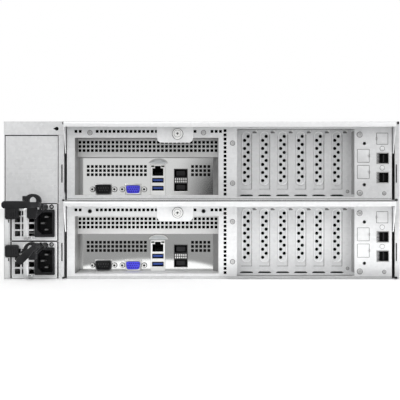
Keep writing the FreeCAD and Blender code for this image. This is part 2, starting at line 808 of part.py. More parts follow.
# Slot covers: perforated blanking plates behind the slot openings.
covers = start("lower_slot_covers")
cover_face = "slot_plane + sheet"
plate = add(covers, "XZ", cover_face, cover_face + " + sheet", [rectangle(
    "slot_first - cover_width/2", "slot_first + cover_width/2",
    "can_floor + slot_foot - cover_lap", "slots_top - cover_head")])
hole_low = "can_floor + slot_foot + cover_first"
holes = carve(covers, "XZ", cover_face + " - sheet", cover_face + " + 2*sheet", [
    many_sided("slot_first - cover_stagger/2", hole_low, "cover_hole", 4),
    many_sided("slot_first + cover_stagger/2", hole_low + " + cover_pitch/2", "cover_hole", 4)])
repeat(covers, holes, count_v="floor((slots_top - can_floor - slot_foot - cover_rest)/cover_pitch)",
       step_v="cover_pitch")
repeat_all(covers, plate, "H_Axis", "slot_count", "slot_pitch")

# Ports on the board edge: two D-shaped shells, the network and USB stack, the two optical cages.
ports = start("lower_io_ports")
block_face = "io_plane + sheet + port_fit"
shell_face = "io_plane - dsub_reach"
for middle, socket_end in (("serial_x", "io_plane - socket_back"), ("display_x", shell_face + " + insert_depth")):
    add(ports, "XZ", block_face, "io_plane + dsub_length", [rectangle(
        middle + " - dsub_width/2", middle + " + dsub_width/2", "board_top", "board_top + dsub_height")])
    add(ports, "XZ", shell_face, block_face + " + sheet", [shell_outline(middle, "0")])
    carve(ports, "XZ", shell_face + " - cut_past", socket_end, [shell_outline(middle, "-shell_wall")])
    post_z = "shell_floor + shell_height/2"
    add(ports, "XZ", "io_plane - post_reach", "io_plane", [
        many_sided(middle + " - post_spread/2", post_z, "post_radius", 6),
        many_sided(middle + " + post_spread/2", post_z, "post_radius", 6)])
add(ports, "XZ", "port_face", "io_plane + port_length", [rectangle(
    "lan_x - lan_width/2", "lan_x + lan_width/2", "board_top", "lan_top")])
carve(ports, "XZ", "port_face - cut_past", "port_face + socket_depth", [rectangle(
    "lan_x - lan_mouth_width/2", "lan_x + lan_mouth_width/2", "mouth_top - lan_mouth_height", "mouth_top")])
for usb_floor in ("board_top + usb_low", "board_top + usb_low + usb_pitch"):
    carve(ports, "XZ", "port_face - cut_past", "port_face + socket_depth", [rectangle(
        "lan_x - usb_width/2", "lan_x + usb_width/2", usb_floor, usb_floor + " + usb_height")])
    tongue = usb_floor + " + tongue_rise"
    add(ports, "XZ", "port_face + tongue_inset", "port_face + socket_depth + tongue_root", [rectangle(
        "lan_x - tongue_width/2", "lan_x + tongue_width/2", tongue, tongue + " + tongue_height")])
sfp_left = "sfp_x - sfp_width/2"
sfp_right = "sfp_x + sfp_width/2"
mouth_left = sfp_left + " + sfp_wall"
mouth_right = sfp_right + " - sfp_wall"
add(ports, "XZ", "port_face", "io_plane + sfp_length", [rectangle(sfp_left, sfp_right, "sfp_low", "sfp_top")])
carve(ports, "XZ", "port_face - cut_past", "io_plane + sfp_depth", [
    rectangle(mouth_left, mouth_right, "sfp_top - sfp_wall - sfp_mouth", "sfp_top - sfp_wall"),
    rectangle(mouth_left, mouth_right, "sfp_low + sfp_wall", "sfp_low + sfp_wall + sfp_mouth")])
add(ports, "XZ", "io_plane + sheet + sfp_foot_set", "io_plane + sfp_length", [rectangle(
    sfp_left, sfp_right, "board_top", "sfp_low")])

# External storage ports in the right part of the rear panel, on their upright card.
sas = start("storage_connectors")
sas_left = "sas_x - sas_width/2"
sas_right = "sas_x + sas_width/2"
socket = add(sas, "XZ", "rear - sas_proud", "rear + sas_length", [rectangle(
    sas_left, sas_right, "sas_floor", "sas_floor + sas_height")])
carve(sas, "XZ", "rear - sas_proud - cut_past", "rear + sas_depth", [rectangle(
    sas_left + " + sas_rim", sas_right + " - sas_edge",
    "sas_floor + sas_wall", "sas_floor + sas_height - sas_wall")])
repeat_all(sas, socket, "V_Axis", "2", "sas_pitch")
card = start("storage_card")
add(card, "XZ", "rear + sas_length", "rear + sas_length + board", [rectangle(
    sas_left + " - card_lap", "can_right - sheet",
    "sas_floor - card_margin", "sas_floor + sas_pitch + sas_height + card_margin")])
gather("lower_storage_ports", [sas, card])

# Mainboard with a row of memory modules.
plate = start("board_plate")
add(plate, "XY", "board_top - board", "board_top", [rectangle(
    "can_left + sheet + board_left", "can_right - sheet - board_right", "board_rear", "board_rear + board_length")])
memory = start("memory_modules")
memory_left = "can_left + memory_inset"
memory_rear = "board_rear + memory_start"
module = add(memory, "XY", "board_top", "board_top + memory_height", [rectangle(
    memory_left, memory_left + " + memory_thick", memory_rear, memory_rear + " + memory_length")])
repeat_all(memory, module, "H_Axis", "memory_count", "memory_pitch")
gather("lower_mainboard", [plate, memory])

# Heatsinks: base plate and fins on each processor.
sinks = start("lower_heatsinks")
base = add(sinks, "XY", "board_top", "board_top + sink_base", [rectangle(
    "sink_left", "sink_left + sink_width", "sink_rear", "sink_rear + sink_length")])
fin = add(sinks, "XY", "board_top + sink_base - fin_root", "board_top + sink_height", [rectangle(
    "sink_left", "sink_left + fin_thick", "sink_rear", "sink_rear + sink_length")])
repeat(sinks, fin, "fin_count", "(sink_width - fin_thick)/(fin_count - 1)")
repeat_all(sinks, base, "H_Axis", "sink_count", "sink_pitch")

# Fan row: square frames with a round duct and a motor strut, and the rotors on those struts.
frames = start("fan_frames")
strut_rear = "fan_rear + fan_depth - strut_depth"
frame = add(frames, "XZ", "fan_rear", "fan_rear + fan_depth", [rectangle(
    "fan_x - fan_size/2", "fan_x + fan_size/2", "can_floor + sheet", "can_floor + sheet + fan_size")])
carve(frames, "XZ", "fan_rear - cut_past", "fan_rear + fan_depth + cut_past", [
    many_sided("fan_x", "fan_z", "fan_size/2 - fan_wall", 12)])
add(frames, "XZ", strut_rear, "fan_rear + fan_depth", [rectangle(
    "fan_x - fan_size/2 + strut_root", "fan_x + fan_size/2 - strut_root",
    "fan_z - strut_width/2", "fan_z + strut_width/2")])
repeat_all(frames, frame, "H_Axis", "fan_count", "fan_step")
rotors = start("fan_rotors")
hub = add(rotors, "XZ", "fan_rear + rotor_start", strut_rear, [many_sided("fan_x", "fan_z", "hub_radius", 10)])
blade = rectangle("hub_radius - blade_root", "fan_size/2 - fan_wall - blade_gap", "-blade_thick/2", "blade_thick/2")
for turn in range(0, 360, 72):
    turned = [(f"fan_x + ({u})*cos({turn}) - ({v})*sin({turn})", f"fan_z + ({u})*sin({turn}) + ({v})*cos({turn})")
              for u, v in blade]
    add(rotors, "XZ", "fan_rear + blade_start", "fan_rear + blade_start + blade_width", [turned])
repeat_all(rotors, hub, "H_Axis", "fan_count", "fan_step")
gather("lower_fans", [frames, rotors])

# Power supply housing: drawn tube closed by a perforated face.
housing = start("supply_case")
through = ("rear - sheet", "rear + 2*sheet")
add(housing, "XZ", "rear", "psu_end", [rectangle("psu_left", "psu_right", "psu_floor", "psu_top")])
carve(housing, "XZ", "rear + sheet", "psu_end + cut_past", [rectangle(
    "psu_left + sheet", "psu_right - sheet", "psu_floor + sheet", "psu_top - sheet")])
hole = carve(housing, "XZ", *through, [rectangle(
    "grille_left", "grille_left + grille_hole", "grille_low", "grille_low + grille_hole")])
repeat(housing, hole, "grille_count", "grille_pitch", "grille_count", "grille_pitch")
odd_left = "grille_left + grille_pitch"
odd_low = "grille_low + grille_count*grille_pitch"
carve(housing, "XZ", *through, [
    rectangle("inlet_x + inlet_lap", "inlet_x + inlet_width - inlet_lap",
              "inlet_z + inlet_lap", "inlet_z + inlet_height - inlet_lap"),
    rectangle(odd_left, odd_left + " + grille_hole", odd_low, odd_low + " + grille_odd"),
    rectangle("stem_left - slide_gap", "stem_left + stem_width + latch_travel + slide_gap",
              "stem_low - slide_gap", "stem_low + stem_height + slide_gap")])
converter = start("supply_board")
add(converter, "XZ", "rear + converter_start", "psu_end + converter_tongue", [rectangle(
    "psu_left + sheet", "psu_right - sheet", "psu_floor + converter_rise", "psu_floor + converter_rise + board")])
gather("lower_psu_housing", [housing, converter])

# Mains inlet: rimmed socket with a recess cut at two corners and three flat pins.
inlet = start("inlet_socket")
add(inlet, "XZ", "rear - inlet_rim", "rear", [rectangle(
    "inlet_x", "inlet_x + inlet_width", "inlet_z", "inlet_z + inlet_height")])
body_inset = "inlet_lap + port_fit"
add(inlet, "XZ", "rear - inlet_root", "rear + inlet_length", [rectangle(
    f"inlet_x + {body_inset}", f"inlet_x + inlet_width - ({body_inset})",
    f"inlet_z + {body_inset}", f"inlet_z + inlet_height - ({body_inset})")])
socket_left = "inlet_x + inlet_wall"
socket_right = "inlet_x + inlet_width - inlet_wall"
socket_low = "inlet_z + inlet_wall"
socket_high = "inlet_z + inlet_height - inlet_wall"
socket_end = "rear + inlet_length - inlet_bottom"
carve(inlet, "XZ", "rear - inlet_rim - cut_past", socket_end, [[
    (socket_left, socket_low + " + inlet_chamfer"), (socket_left + " + inlet_chamfer", socket_low),
    (socket_right, socket_low), (socket_right, socket_high),
    (socket_left + " + inlet_chamfer", socket_high), (socket_left, socket_high + " - inlet_chamfer")]])
pins = start("inlet_pins")
flat = [(f"inlet_x + {offset}", f"inlet_x + {offset} + pin_width", f"pin_z + {rise}")
        for offset, rise in (("pin_earth", "0"), ("pin_live", "pin_spread"), ("pin_live", "-pin_spread"))]
add(pins, "XZ", "rear + pin_recess", socket_end, [
    rectangle(low, high, middle + " - pin_thick/2", middle + " + pin_thick/2") for low, high, middle in flat])
gather("lower_inlet", [inlet, pins])

# Pull handle: flat bar bent to a U, feet on the face.
handle = start("lower_handle")
bar_left = "psu_left + handle_offset - handle_width/2"
foot_low = "psu_floor + handle_inset"
foot_high = "psu_top - handle_inset"
bow = "rear - handle_reach"
inner_low = foot_low + " + handle_bar"
inner_high = foot_high + " - handle_bar"
inner_bow = bow + " + handle_bar"
add(handle, "YZ", bar_left, bar_left + " + handle_width", [[
    ("rear", foot_low), ("rear", inner_low), (inner_bow + " + handle_inner", inner_low),
    (inner_bow, inner_low + " + handle_inner"), (inner_bow, inner_high + " - handle_inner"),
    (inner_bow + " + handle_inner", inner_high), ("rear", inner_high), ("rear", foot_high),
    (bow + " + handle_corner", foot_high), (bow, foot_high + " - handle_corner"),
    (bow, foot_low + " + handle_corner"), (bow + " + handle_corner", foot_low)]])

# Release latch: ribbed thumb tab in front of the flange with a stem through the face.
latch = start("lower_latch")
latch_face = "rear - latch_reach"
add(latch, "XZ", latch_face, "rear - slide_gap", [rectangle(
    "latch_left", "latch_right", "latch_low", "latch_low + latch_height")])
add(latch, "XZ", "rear - stem_lap", "rear + stem_reach", [rectangle(
    "stem_left", "stem_left + stem_width", "stem_low", "stem_low + stem_height")])
rib = carve(latch, "XZ", latch_face + " - cut_past", latch_face + " + rib_depth", [rectangle(
    "latch_left + rib_inset", "latch_left + rib_inset + rib_width",
    "latch_low + rib_inset", "latch_low + latch_height - rib_inset")])
repeat(latch, rib, "rib_count", "rib_pitch")


def cord_holder(side, rise):
    # Ribbon that leaves the face, bends aside and ends in a tail, and the clamp on its straight run.
    # Both are drawn about the strap axis and leaned over as a whole.
    strap = start(side + "_cord_strap")
    bend_y = "rear - strap_run"
    outer = arc("-strap_bend", bend_y, "strap_bend + strap_thick/2", 0, -90, 6)
    inner = arc("-strap_bend", bend_y, "strap_bend - strap_thick/2", -90, 0, 6)
    tail_x = f"-strap_bend - {side}_tail"
    tail_y = bend_y + " - strap_bend"
    add(strap, "XY", "-strap_width/2", "strap_width/2", [
        [("strap_thick/2", "rear")] + outer
        + [(tail_x, tail_y + " - strap_thick/2"), (tail_x, tail_y + " + strap_thick/2")]
        + inner + [("-strap_thick/2", "rear")]])
    add(strap, "XZ", "rear - strap_foot_height", "rear", [many_sided("0", "0", "strap_foot", 8)])
    clamp = start(side + "_cord_clamp")
    near = "rear - clamp_stand"
    back = near + " - ring_length"
    gap_u = "strap_thick/2 + slide_gap"
    gap_v = "strap_width/2 + slide_gap"
    add(clamp, "XZ", back, near, [rectangle(
        f"-({gap_u} + clamp_wall)", gap_u + " + clamp_wall", f"-({gap_v} + clamp_wall)", gap_v + " + clamp_wall")])
    add(clamp, "XZ", back, near, [many_sided("-ring_across", "ring_rise", "ring_outer", 16)])
    ratchet_left = "-ring_across - ring_outer - ratchet_out"
    ratchet_floor = "ring_rise + ratchet_low"
    add(clamp, "XZ", back, near, [rectangle(
        ratchet_left, ratchet_left + " + ratchet_width", ratchet_floor, ratchet_floor + " + ratchet_height")])
    add(clamp, "XZ", back, near, [rectangle(
        "-ring_across", f"-({gap_u} + clamp_wall) + ring_lap",
        "ring_rise - ring_outer", "ring_rise - ring_inner - ring_seat")])
    carve(clamp, "XZ", back + " - cut_past", near + " + cut_past", [
        many_sided("-ring_across", "ring_rise", "ring_inner", 12)])
    carve(clamp, "XZ", back + " - cut_past", near + " + cut_past", [
        rectangle(f"-({gap_u})", gap_u, f"-({gap_v})", gap_v)])
    for part in (strap, clamp):
        part.Placement.Rotation = FreeCAD.Rotation(FreeCAD.Vector(0, 1, 0), length_of(side + "_lean"))
        bind(part, "Placement.Base.x", "strap_x")
        bind(part, "Placement.Base.z", "strap_z + " + rise)


cord_holder("lower", "0")
cord_holder("upper", "psu_step")

# Drive cage: upright walls with shelves between them.
walls = start("cage_walls")
wall = add(walls, "XZ", "cage_rear", "front", [rectangle(
    "-cage_width/2", "-cage_width/2 + cage_wall", "sheet", "sheet + cage_height")])
repeat_all(walls, wall, "H_Axis", "bay_columns + 1", "bay_step_x")
shelves = start("cage_shelves")
ledge = add(shelves, "XZ", "cage_rear", "front", [rectangle(
    "-cage_width/2 + cage_wall", "-cage_width/2 + bay_step_x", "sheet", "sheet + cage_wall")])
repeat_all(shelves, ledge, "V_Axis", "bay_levels + 1", "bay_step_z")
repeat_all(shelves, ledge, "H_Axis", "bay_columns", "bay_step_x")
gather("drive_cage", [walls, shelves])

# Midplane board with air windows, and the two canister connectors.
middle = start("midplane_board")
add(middle, "XZ", "plug_face", "cage_rear", [rectangle("-cage_width/2", "cage_width/2", "sheet", "wall_top")])
window_low = "carrier_floor + window_rise"
window_edge = "carrier_left + window_left"
window = carve(middle, "XZ", "plug_face - cut_past", "cage_rear + cut_past", [rectangle(
    window_edge, window_edge + " + window_width", window_low, window_low + " + window_height")])
repeat(middle, window, "bay_columns", "bay_step_x", "window_rows", "bay_levels/window_rows*bay_step_z")
plug = add(middle, "XZ", "plug_face - plug_depth", "plug_face + midplane/2", [rectangle(
    "plug_left", "plug_left + plug_width", "can_floor + plug_low", "can_floor + plug_low + plug_height")])
repeat(middle, plug, count_v="2", step_v="can_step")

# Front intake panel above the cage: folded sheet with upright slots and a hole for the button.
intake = start("front_panel")
turn_back = "front - intake_return"
skin_back = "front - intake_sheet"
add(intake, "YZ", "left + sheet", "right - sheet", [[
    (turn_back, "intake_low"), ("front", "intake_low"), ("front", "wall_top"), (turn_back, "wall_top"),
    (turn_back, "wall_top - sheet"), (skin_back, "wall_top - sheet"),
    (skin_back, "intake_low + sheet"), (turn_back, "intake_low + sheet")]])
slit_left = "left + slit_start"
slit = carve(intake, "XZ", skin_back + " - cut_past", "front + cut_past", [rectangle(
    slit_left, slit_left + " + slit_width", "intake_low + slit_margin", "wall_top - slit_margin")])
repeat(intake, slit, "floor((chassis_width - slit_rest)/slit_pitch)", "slit_pitch")
carve(intake, "XZ", skin_back + " - cut_past", "front + cut_past", circles=[
    ("button_x", "button_z", "button_radius + slide_gap")])

# Power button with a flange behind the panel.
button = start("power_button")
add(button, "XZ", "front - button_depth", "front + button_proud", [
    many_sided("button_x", "button_z", "button_radius", 16)])
add(button, "XZ", "front - button_depth - cut_past", skin_back + " - button_travel", [
    many_sided("button_x", "button_z", "button_radius + button_flange", 8)])

# Rack ears: angle brackets on the side walls with mounting slots, and a bow handle on each.
ears = start("ear_brackets")
grips = start("ear_handles")
ear_back = "front - ear_sheet"
ear_cut = (ear_back + " - cut_past", "front + cut_past")
inner_front = "grip_front - grip_bar"
inner_low = "grip_low + grip_bar"
inner_top = "grip_top - grip_bar"
for out, edge in (("-1", "left"), ("1", "right")):
    add(ears, "XY", "0", "chassis_height", [[
        (edge, "front - ear_return"), (f"{edge} + {out}*ear_sheet", "front - ear_return"),
        (f"{edge} + {out}*ear_sheet", ear_back), (f"{edge} + {out}*ear_width", ear_back),
        (f"{edge} + {out}*ear_width", "front"), (edge, "front")]])
    slot_x = f"{edge} + {out}*(ear_width - ear_inset)"
    slot_left = slot_x + " - ear_slot/2"
    slot_right = slot_x + " + ear_slot/2"
    for height in ("chassis_height/2 - ear_rise/2", "chassis_height/2 + ear_rise/2"):
        carve(ears, "XZ", *ear_cut, [rectangle(
            slot_left, slot_right, height + " - ear_hole", height + " + ear_hole")])
        carve(ears, "XZ", *ear_cut, circles=[(slot_left, height, "ear_hole")])
        carve(ears, "XZ", *ear_cut, circles=[(slot_right, height, "ear_hole")])
    grip_x = f"{edge} + {out}*ear_width/2"
    add(grips, "YZ", grip_x + " - grip_bar/2", grip_x + " + grip_bar/2", [[
        ("front", "grip_low"), ("grip_front - grip_corner", "grip_low"),
        ("grip_front", "grip_low + grip_corner"), ("grip_front", "grip_top - grip_corner"),
        ("grip_front - grip_corner", "grip_top"), ("front", "grip_top"), ("front", inner_top),
        (inner_front + " - grip_inner", inner_top), (inner_front, inner_top + " - grip_inner"),
        (inner_front, inner_low + " + grip_inner"), (inner_front + " - grip_inner", inner_low),
        ("front", inner_low)]])
gather("rack_ears", [ears, grips])

# Drive carrier: open bezel, folded tray, drive and lever.
carrier = start("carrier_tray")
add(carrier, "XZ", "bezel_back", "front", [rectangle(
    "carrier_left", "carrier_right", "carrier_floor", "carrier_top")])
mesh_left = "carrier_left + bezel_first"
mesh = carve(carrier, "XZ", "bezel_back - cut_past", "front + cut_past", [rectangle(
    mesh_left, mesh_left + " + bezel_opening", "carrier_floor + bezel_edge", "carrier_top - bezel_edge")])
repeat(carrier, mesh, "bezel_count", "bezel_pitch")
side_top = "carrier_floor + carrier_side"
inner_floor = "carrier_floor + carrier_sheet"
add(carrier, "XZ", "carrier_back", "bezel_back + carrier_sheet", [[
    ("carrier_left", "carrier_floor"), ("carrier_right", "carrier_floor"), ("carrier_right", side_top),
    ("carrier_right - carrier_sheet", side_top), ("carrier_right - carrier_sheet", inner_floor),
    ("carrier_left + carrier_sheet", inner_floor), ("carrier_left + carrier_sheet", side_top),
    ("carrier_left", side_top)]])
drive = start("carrier_drive")
add(drive, "XZ", "carrier_back + drive_set", "carrier_back + drive_set + drive_length", [rectangle(
    "carrier_left + carrier_sheet", "carrier_right - carrier_sheet", inner_floor, "carrier_top - drive_head")])
lever = start("carrier_lever")
lever_right = "carrier_right - lever_inset"
add(lever, "XZ", "front", "front + lever_thick", [rectangle(
    lever_right + " - lever_length", lever_right, "carrier_floor + lever_inset", "carrier_top - lever_inset")])
loaded = gather("drive_carrier_a1", [carrier, drive, lever])

columns = "abcd"
for column in range(round(length_of("bay_columns"))):
    for level in range(round(length_of("bay_levels"))):
        if column or level:
            copy_of(f"drive_carrier_{columns[column]}{level + 1}", loaded,
                    f"{column}*bay_step_x", f"{level}*bay_step_z")

for name in ("tray", "rear_panel", "io_panel", "lid", "thumbscrew", "slot_covers", "io_ports",
             "storage_ports", "mainboard", "heatsinks", "fans"):
    copy_of("upper_" + name, pieces["lower_" + name], z="can_step")
for name in ("psu_housing", "inlet", "handle", "latch"):
    copy_of("upper_" + name, pieces["lower_" + name], z="psu_step")

doc.recompute()
for item in doc.Objects:
    if "Invalid" in item.State or "Error" in item.State:
        raise RuntimeError("not built: " + item.Label)
os.makedirs("parts", exist_ok=True)
for label, piece in pieces.items():
    shape = Part.getShape(piece)
    if shape.isNull() or not shape.isValid() or not shape.Solids:
        raise RuntimeError("no valid shape: " + label)
    shape.exportStep(f"parts/{label}.step")
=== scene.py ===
import math

import bmesh
import bpy
import numpy as np
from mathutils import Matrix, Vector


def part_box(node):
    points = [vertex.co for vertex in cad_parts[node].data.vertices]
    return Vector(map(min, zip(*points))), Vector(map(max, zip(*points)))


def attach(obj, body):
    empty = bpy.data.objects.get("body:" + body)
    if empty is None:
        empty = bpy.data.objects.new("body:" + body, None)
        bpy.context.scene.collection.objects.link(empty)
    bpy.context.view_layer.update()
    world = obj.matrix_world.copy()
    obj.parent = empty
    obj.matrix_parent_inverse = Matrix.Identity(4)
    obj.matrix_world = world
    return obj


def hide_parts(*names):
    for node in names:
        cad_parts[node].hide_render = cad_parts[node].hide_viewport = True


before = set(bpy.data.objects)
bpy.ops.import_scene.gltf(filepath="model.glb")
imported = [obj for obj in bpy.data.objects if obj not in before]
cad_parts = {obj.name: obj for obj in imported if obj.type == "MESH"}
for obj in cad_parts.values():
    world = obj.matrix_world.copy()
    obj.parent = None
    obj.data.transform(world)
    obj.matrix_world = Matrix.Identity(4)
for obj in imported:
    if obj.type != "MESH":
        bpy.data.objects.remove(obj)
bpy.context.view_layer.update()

sides = ("lower", "upper")
fullTurn = 2 * math.pi
print("frame loaded:", len(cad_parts), "nodes")


def cornersOf(node):
    # Lowest and highest corner of a node, in millimetres.
    return [np.array(corner) * 1000 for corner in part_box(node)]


def gridFaces(rows, columns, wrapRows=False, wrapColumns=False):
    # Quads of a grid: each corner joins the next row and the next column, round to the first where it wraps.
    row, column = np.meshgrid(np.arange(rows - (not wrapRows)), np.arange(columns - (not wrapColumns)), indexing="ij")
    below, beside = (row + 1) % rows, (column + 1) % columns
    quads = [row * columns + column, row * columns + beside, below * columns + beside, below * columns + column]
    return np.stack(quads, -1).reshape(-1, 4)


def loft(rings, wrap=False, capFirst=True, capLast=True):
    # Matching outlines joined by quads in order, with a flat face at either end unless the last joins the first.
    rings = np.asarray(rings, float)
    count, size = rings.shape[:2]
    faces = [gridFaces(count, size, wrap, True)]
    if capFirst and not wrap:
        faces.append(np.arange(size)[::-1][None])
    if capLast and not wrap:
        faces.append((count - 1) * size + np.arange(size)[None])
    return rings.reshape(-1, 3), faces


def copies(shape, offsets):
    # The same shape set down again at each offset.
    points, faces = shape
    offsets = np.asarray(offsets, float).reshape(-1, 3)
    start = np.arange(len(offsets))[:, None, None] * len(points)
    moved = (points[None] + offsets[:, None]).reshape(-1, 3)
    return moved, [(group[None] + start).reshape(-1, group.shape[1]) for group in faces]


def roundedOutline(width, height, radius, steps=6):
    # Four quarter circles about the inner corners, joined by straight sides; equal to a circle where no side is left.
    turn = np.linspace(0, math.pi / 2, steps)[None] + np.arange(4)[:, None] * math.pi / 2
    inner = np.array([[1, 1], [-1, 1], [-1, -1], [1, -1]]) * (width / 2 - radius, height / 2 - radius)
    return (inner[:, None] + radius * np.stack([np.cos(turn), np.sin(turn)], -1)).reshape(-1, 2)


def softPolygon(corners, radius, steps=4):
    # Each corner becomes a parabola that begins and ends one radius along its two sides.
    corners = np.asarray(corners, float)
    toLast, toNext = np.roll(corners, 1, 0) - corners, np.roll(corners, -1, 0) - corners
    start = corners + radius * toLast / np.linalg.norm(toLast, axis=1, keepdims=True)
    end = corners + radius * toNext / np.linalg.norm(toNext, axis=1, keepdims=True)
    t = np.linspace(0, 1, steps)[None, :, None]
    curve = (1 - t) ** 2 * start[:, None] + 2 * t * (1 - t) * corners[:, None] + t * t * end[:, None]
    return curve.reshape(-1, 2)


def bentPath(corners, radius, steps=8):
    # Straight legs whose inner corners are parabolas of the given reach.
    corners = np.asarray(corners, float)
    before, at, after = corners[:-2], corners[1:-1], corners[2:]
    start = at + radius * (before - at) / np.linalg.norm(before - at, axis=1, keepdims=True)
    end = at + radius * (after - at) / np.linalg.norm(after - at, axis=1, keepdims=True)
    t = np.linspace(0, 1, steps)[None, :, None]
    curve = (1 - t) ** 2 * start[:, None] + 2 * t * (1 - t) * at[:, None] + t * t * end[:, None]
    return np.concatenate([corners[:1], curve.reshape(-1, corners.shape[1]), corners[-1:]])


def facing(outline, depth, middle=(0, 0)):
    # A flat outline set upright against the rear: its axes are X and Z, its place along Y is the depth.
    return np.column_stack([outline[:, 0] + middle[0], np.full(len(outline), depth), outline[:, 1] + middle[1]])


def endways(outline, place):
    # A flat outline in Y and Z set at one place along X.
    return np.column_stack([np.full(len(outline), place), outline])


def pad(width, height, radius, front, back, middle, edge=0.3, steps=4):
    # A rounded rectangle from back to front whose front edge is a quarter round of the edge radius.
    bend = np.linspace(0, math.pi / 2, 4)
    inset, fall = edge * (1 - np.cos(bend)), edge * (1 - np.sin(bend))
    rings = [facing(roundedOutline(width, height, radius, steps), back, middle)]
    rings += [facing(roundedOutline(width - 2 * i, height - 2 * i, max(radius - i, 0.02), steps), front + f, middle)
              for i, f in zip(inset, fall)]
    return loft(rings)


def frameRing(width, height, radius, rim, front, back, middle, steps=4):
    # A rounded frame: outer wall, front face, inner wall and back face, each an outline moved in by the rim.
    outer = roundedOutline(width, height, radius, steps)
    inner = roundedOutline(width - 2 * rim, height - 2 * rim, max(radius - rim, 0.05), steps)
    ease = roundedOutline(width - 0.4, height - 0.4, max(radius - 0.2, 0.05), steps)
    rings = [facing(outer, back, middle), facing(outer, front + 0.2, middle), facing(ease, front, middle),
             facing(inner, front, middle), facing(inner, back, middle)]
    return loft(rings, wrap=True)


def turned(radii, depths, middle, count=24, ripple=0.0, teeth=1, wrap=False):
    # A profile of radius against depth carried round an axis along Y, its radius waving by the ripple.
    angle = np.linspace(0, fullTurn, count, endpoint=False)
    wave = np.broadcast_to(ripple, len(radii))[:, None] * np.cos(teeth * angle)
    radius = np.asarray(radii, float)[:, None] + wave
    depth = np.broadcast_to(np.asarray(depths, float)[:, None], radius.shape)
    rings = np.stack([middle[0] + radius * np.cos(angle), depth, middle[1] + radius * np.sin(angle)], -1)
    return loft(rings, wrap)


def sweep(profile, path, across):
    # A flat profile carried along a path: its first axis keeps one direction, its second is normal to the path.
    path = np.asarray(path, float)
    heading = np.gradient(path, axis=0)
    heading /= np.linalg.norm(heading, axis=1, keepdims=True)
    side = np.broadcast_to(np.asarray(across, float), path.shape)
    normal = np.cross(heading, side)
    rings = path[:, None] + profile[None, :, :1] * side[:, None] + profile[None, :, 1:] * normal[:, None]
    return loft(rings)


def holeTile(low, high, radius, front, back, steps=4):
    # One rectangle with a round hole: rays from its edge to the sides, on the front, down the bore, on the back.
    turn = np.arange(4 * steps) / steps
    side = turn.astype(int)
    share = (turn - side)[:, None]
    corners = np.array([[low[0], low[1]], [high[0], low[1]], [high[0], high[1]], [low[0], high[1]], [low[0], low[1]]])
    rim = (1 - share) * corners[side] + share * corners[side + 1]
    angle = -0.75 * math.pi + turn * math.pi / 2
    hole = radius * np.column_stack([np.cos(angle), np.sin(angle)])
    rings = [facing(rim, front), facing(hole, front), facing(hole, back), facing(rim, back)]
    return loft(rings, capFirst=False, capLast=False)


def pierced(across, up, solid, front, back, middle=(0, 0)):
    # A plate on a grid of cuts: front and back faces on each solid cell, and a wall where a cell meets an open one.
    grid = np.stack(np.meshgrid(across, up, indexing="ij"), -1).reshape(-1, 2)
    points = np.concatenate([facing(grid, front, middle), facing(grid, back, middle)])
    behind = len(grid)
    index = np.arange(behind).reshape(len(across), len(up))
    column, row = np.nonzero(solid)
    face = np.stack([index[column, row], index[column + 1, row], index[column + 1, row + 1], index[column, row + 1]],
                    -1)
    wide = np.pad(solid, 1)
    column, row = np.nonzero(wide[1:, 1:-1] != wide[:-1, 1:-1])
    upright = np.stack([index[column, row], index[column, row + 1]], -1)
    column, row = np.nonzero(wide[1:-1, 1:] != wide[1:-1, :-1])
    level = np.stack([index[column, row], index[column + 1, row]], -1)
    edges = np.concatenate([upright, level])
    return points, [face, face[:, ::-1] + behind, np.column_stack([edges, edges[:, ::-1] + behind])]


def upFace(shape, height):
    # A shape drawn against the rear laid on its back: what stood out towards the rear now points up.
    points, faces = shape
    return np.column_stack([points[:, 0], points[:, 2], height - points[:, 1]]), faces


def toFront(shape, plane):
    # A shape drawn against the rear turned to the front: what stood out by some depth stands out from the plane.
    points, faces = shape
    return points * (1, -1, 1) + (0, plane, 0), faces


def toSide(shape, hand, plane):
    # A shape drawn against the rear turned onto a side wall: its first axis runs along Y, hand gives the side.
    points, faces = shape
    return np.column_stack([hand * (plane - points[:, 1]), points[:, 0], points[:, 2]]), faces


def screwHead(radius, rise, depth, middle, socket=0.42, lobes=6):
    # A pan head: a quarter ellipse up to the crown, then a socket whose lobes are a ripple of its radius.
    bend = np.linspace(0, math.pi / 2, 5)
    radii = np.concatenate([[radius], radius * (0.7 + 0.3 * np.cos(bend)),
                            radius * np.array([socket, socket * 0.9, 0.05])])
    out = np.concatenate([[-0.3], rise * (0.35 + 0.65 * np.sin(bend)), [rise, rise * 0.35, rise * 0.3]])
    ripple = np.concatenate([np.zeros(6), radius * 0.1 * np.array([1, 1, 0])])
    return turned(radii, depth - out, middle, 24, ripple, lobes)


meshForm = {"mergeGap": 2e-6, "slimEdge": 1e-7, "sharpAngle": 34, "bevelSteps": 2, "bevelAngle": 40}


def easeEdges(part, width):
    # A narrow bevel, in millimetres, on the edges that turn by more than the set angle.
    edge = part.modifiers.new("edge", "BEVEL")
    edge.width, edge.segments, edge.limit_method = width / 1000, meshForm["bevelSteps"], "ANGLE"
    edge.angle_limit = math.radians(meshForm["bevelAngle"])


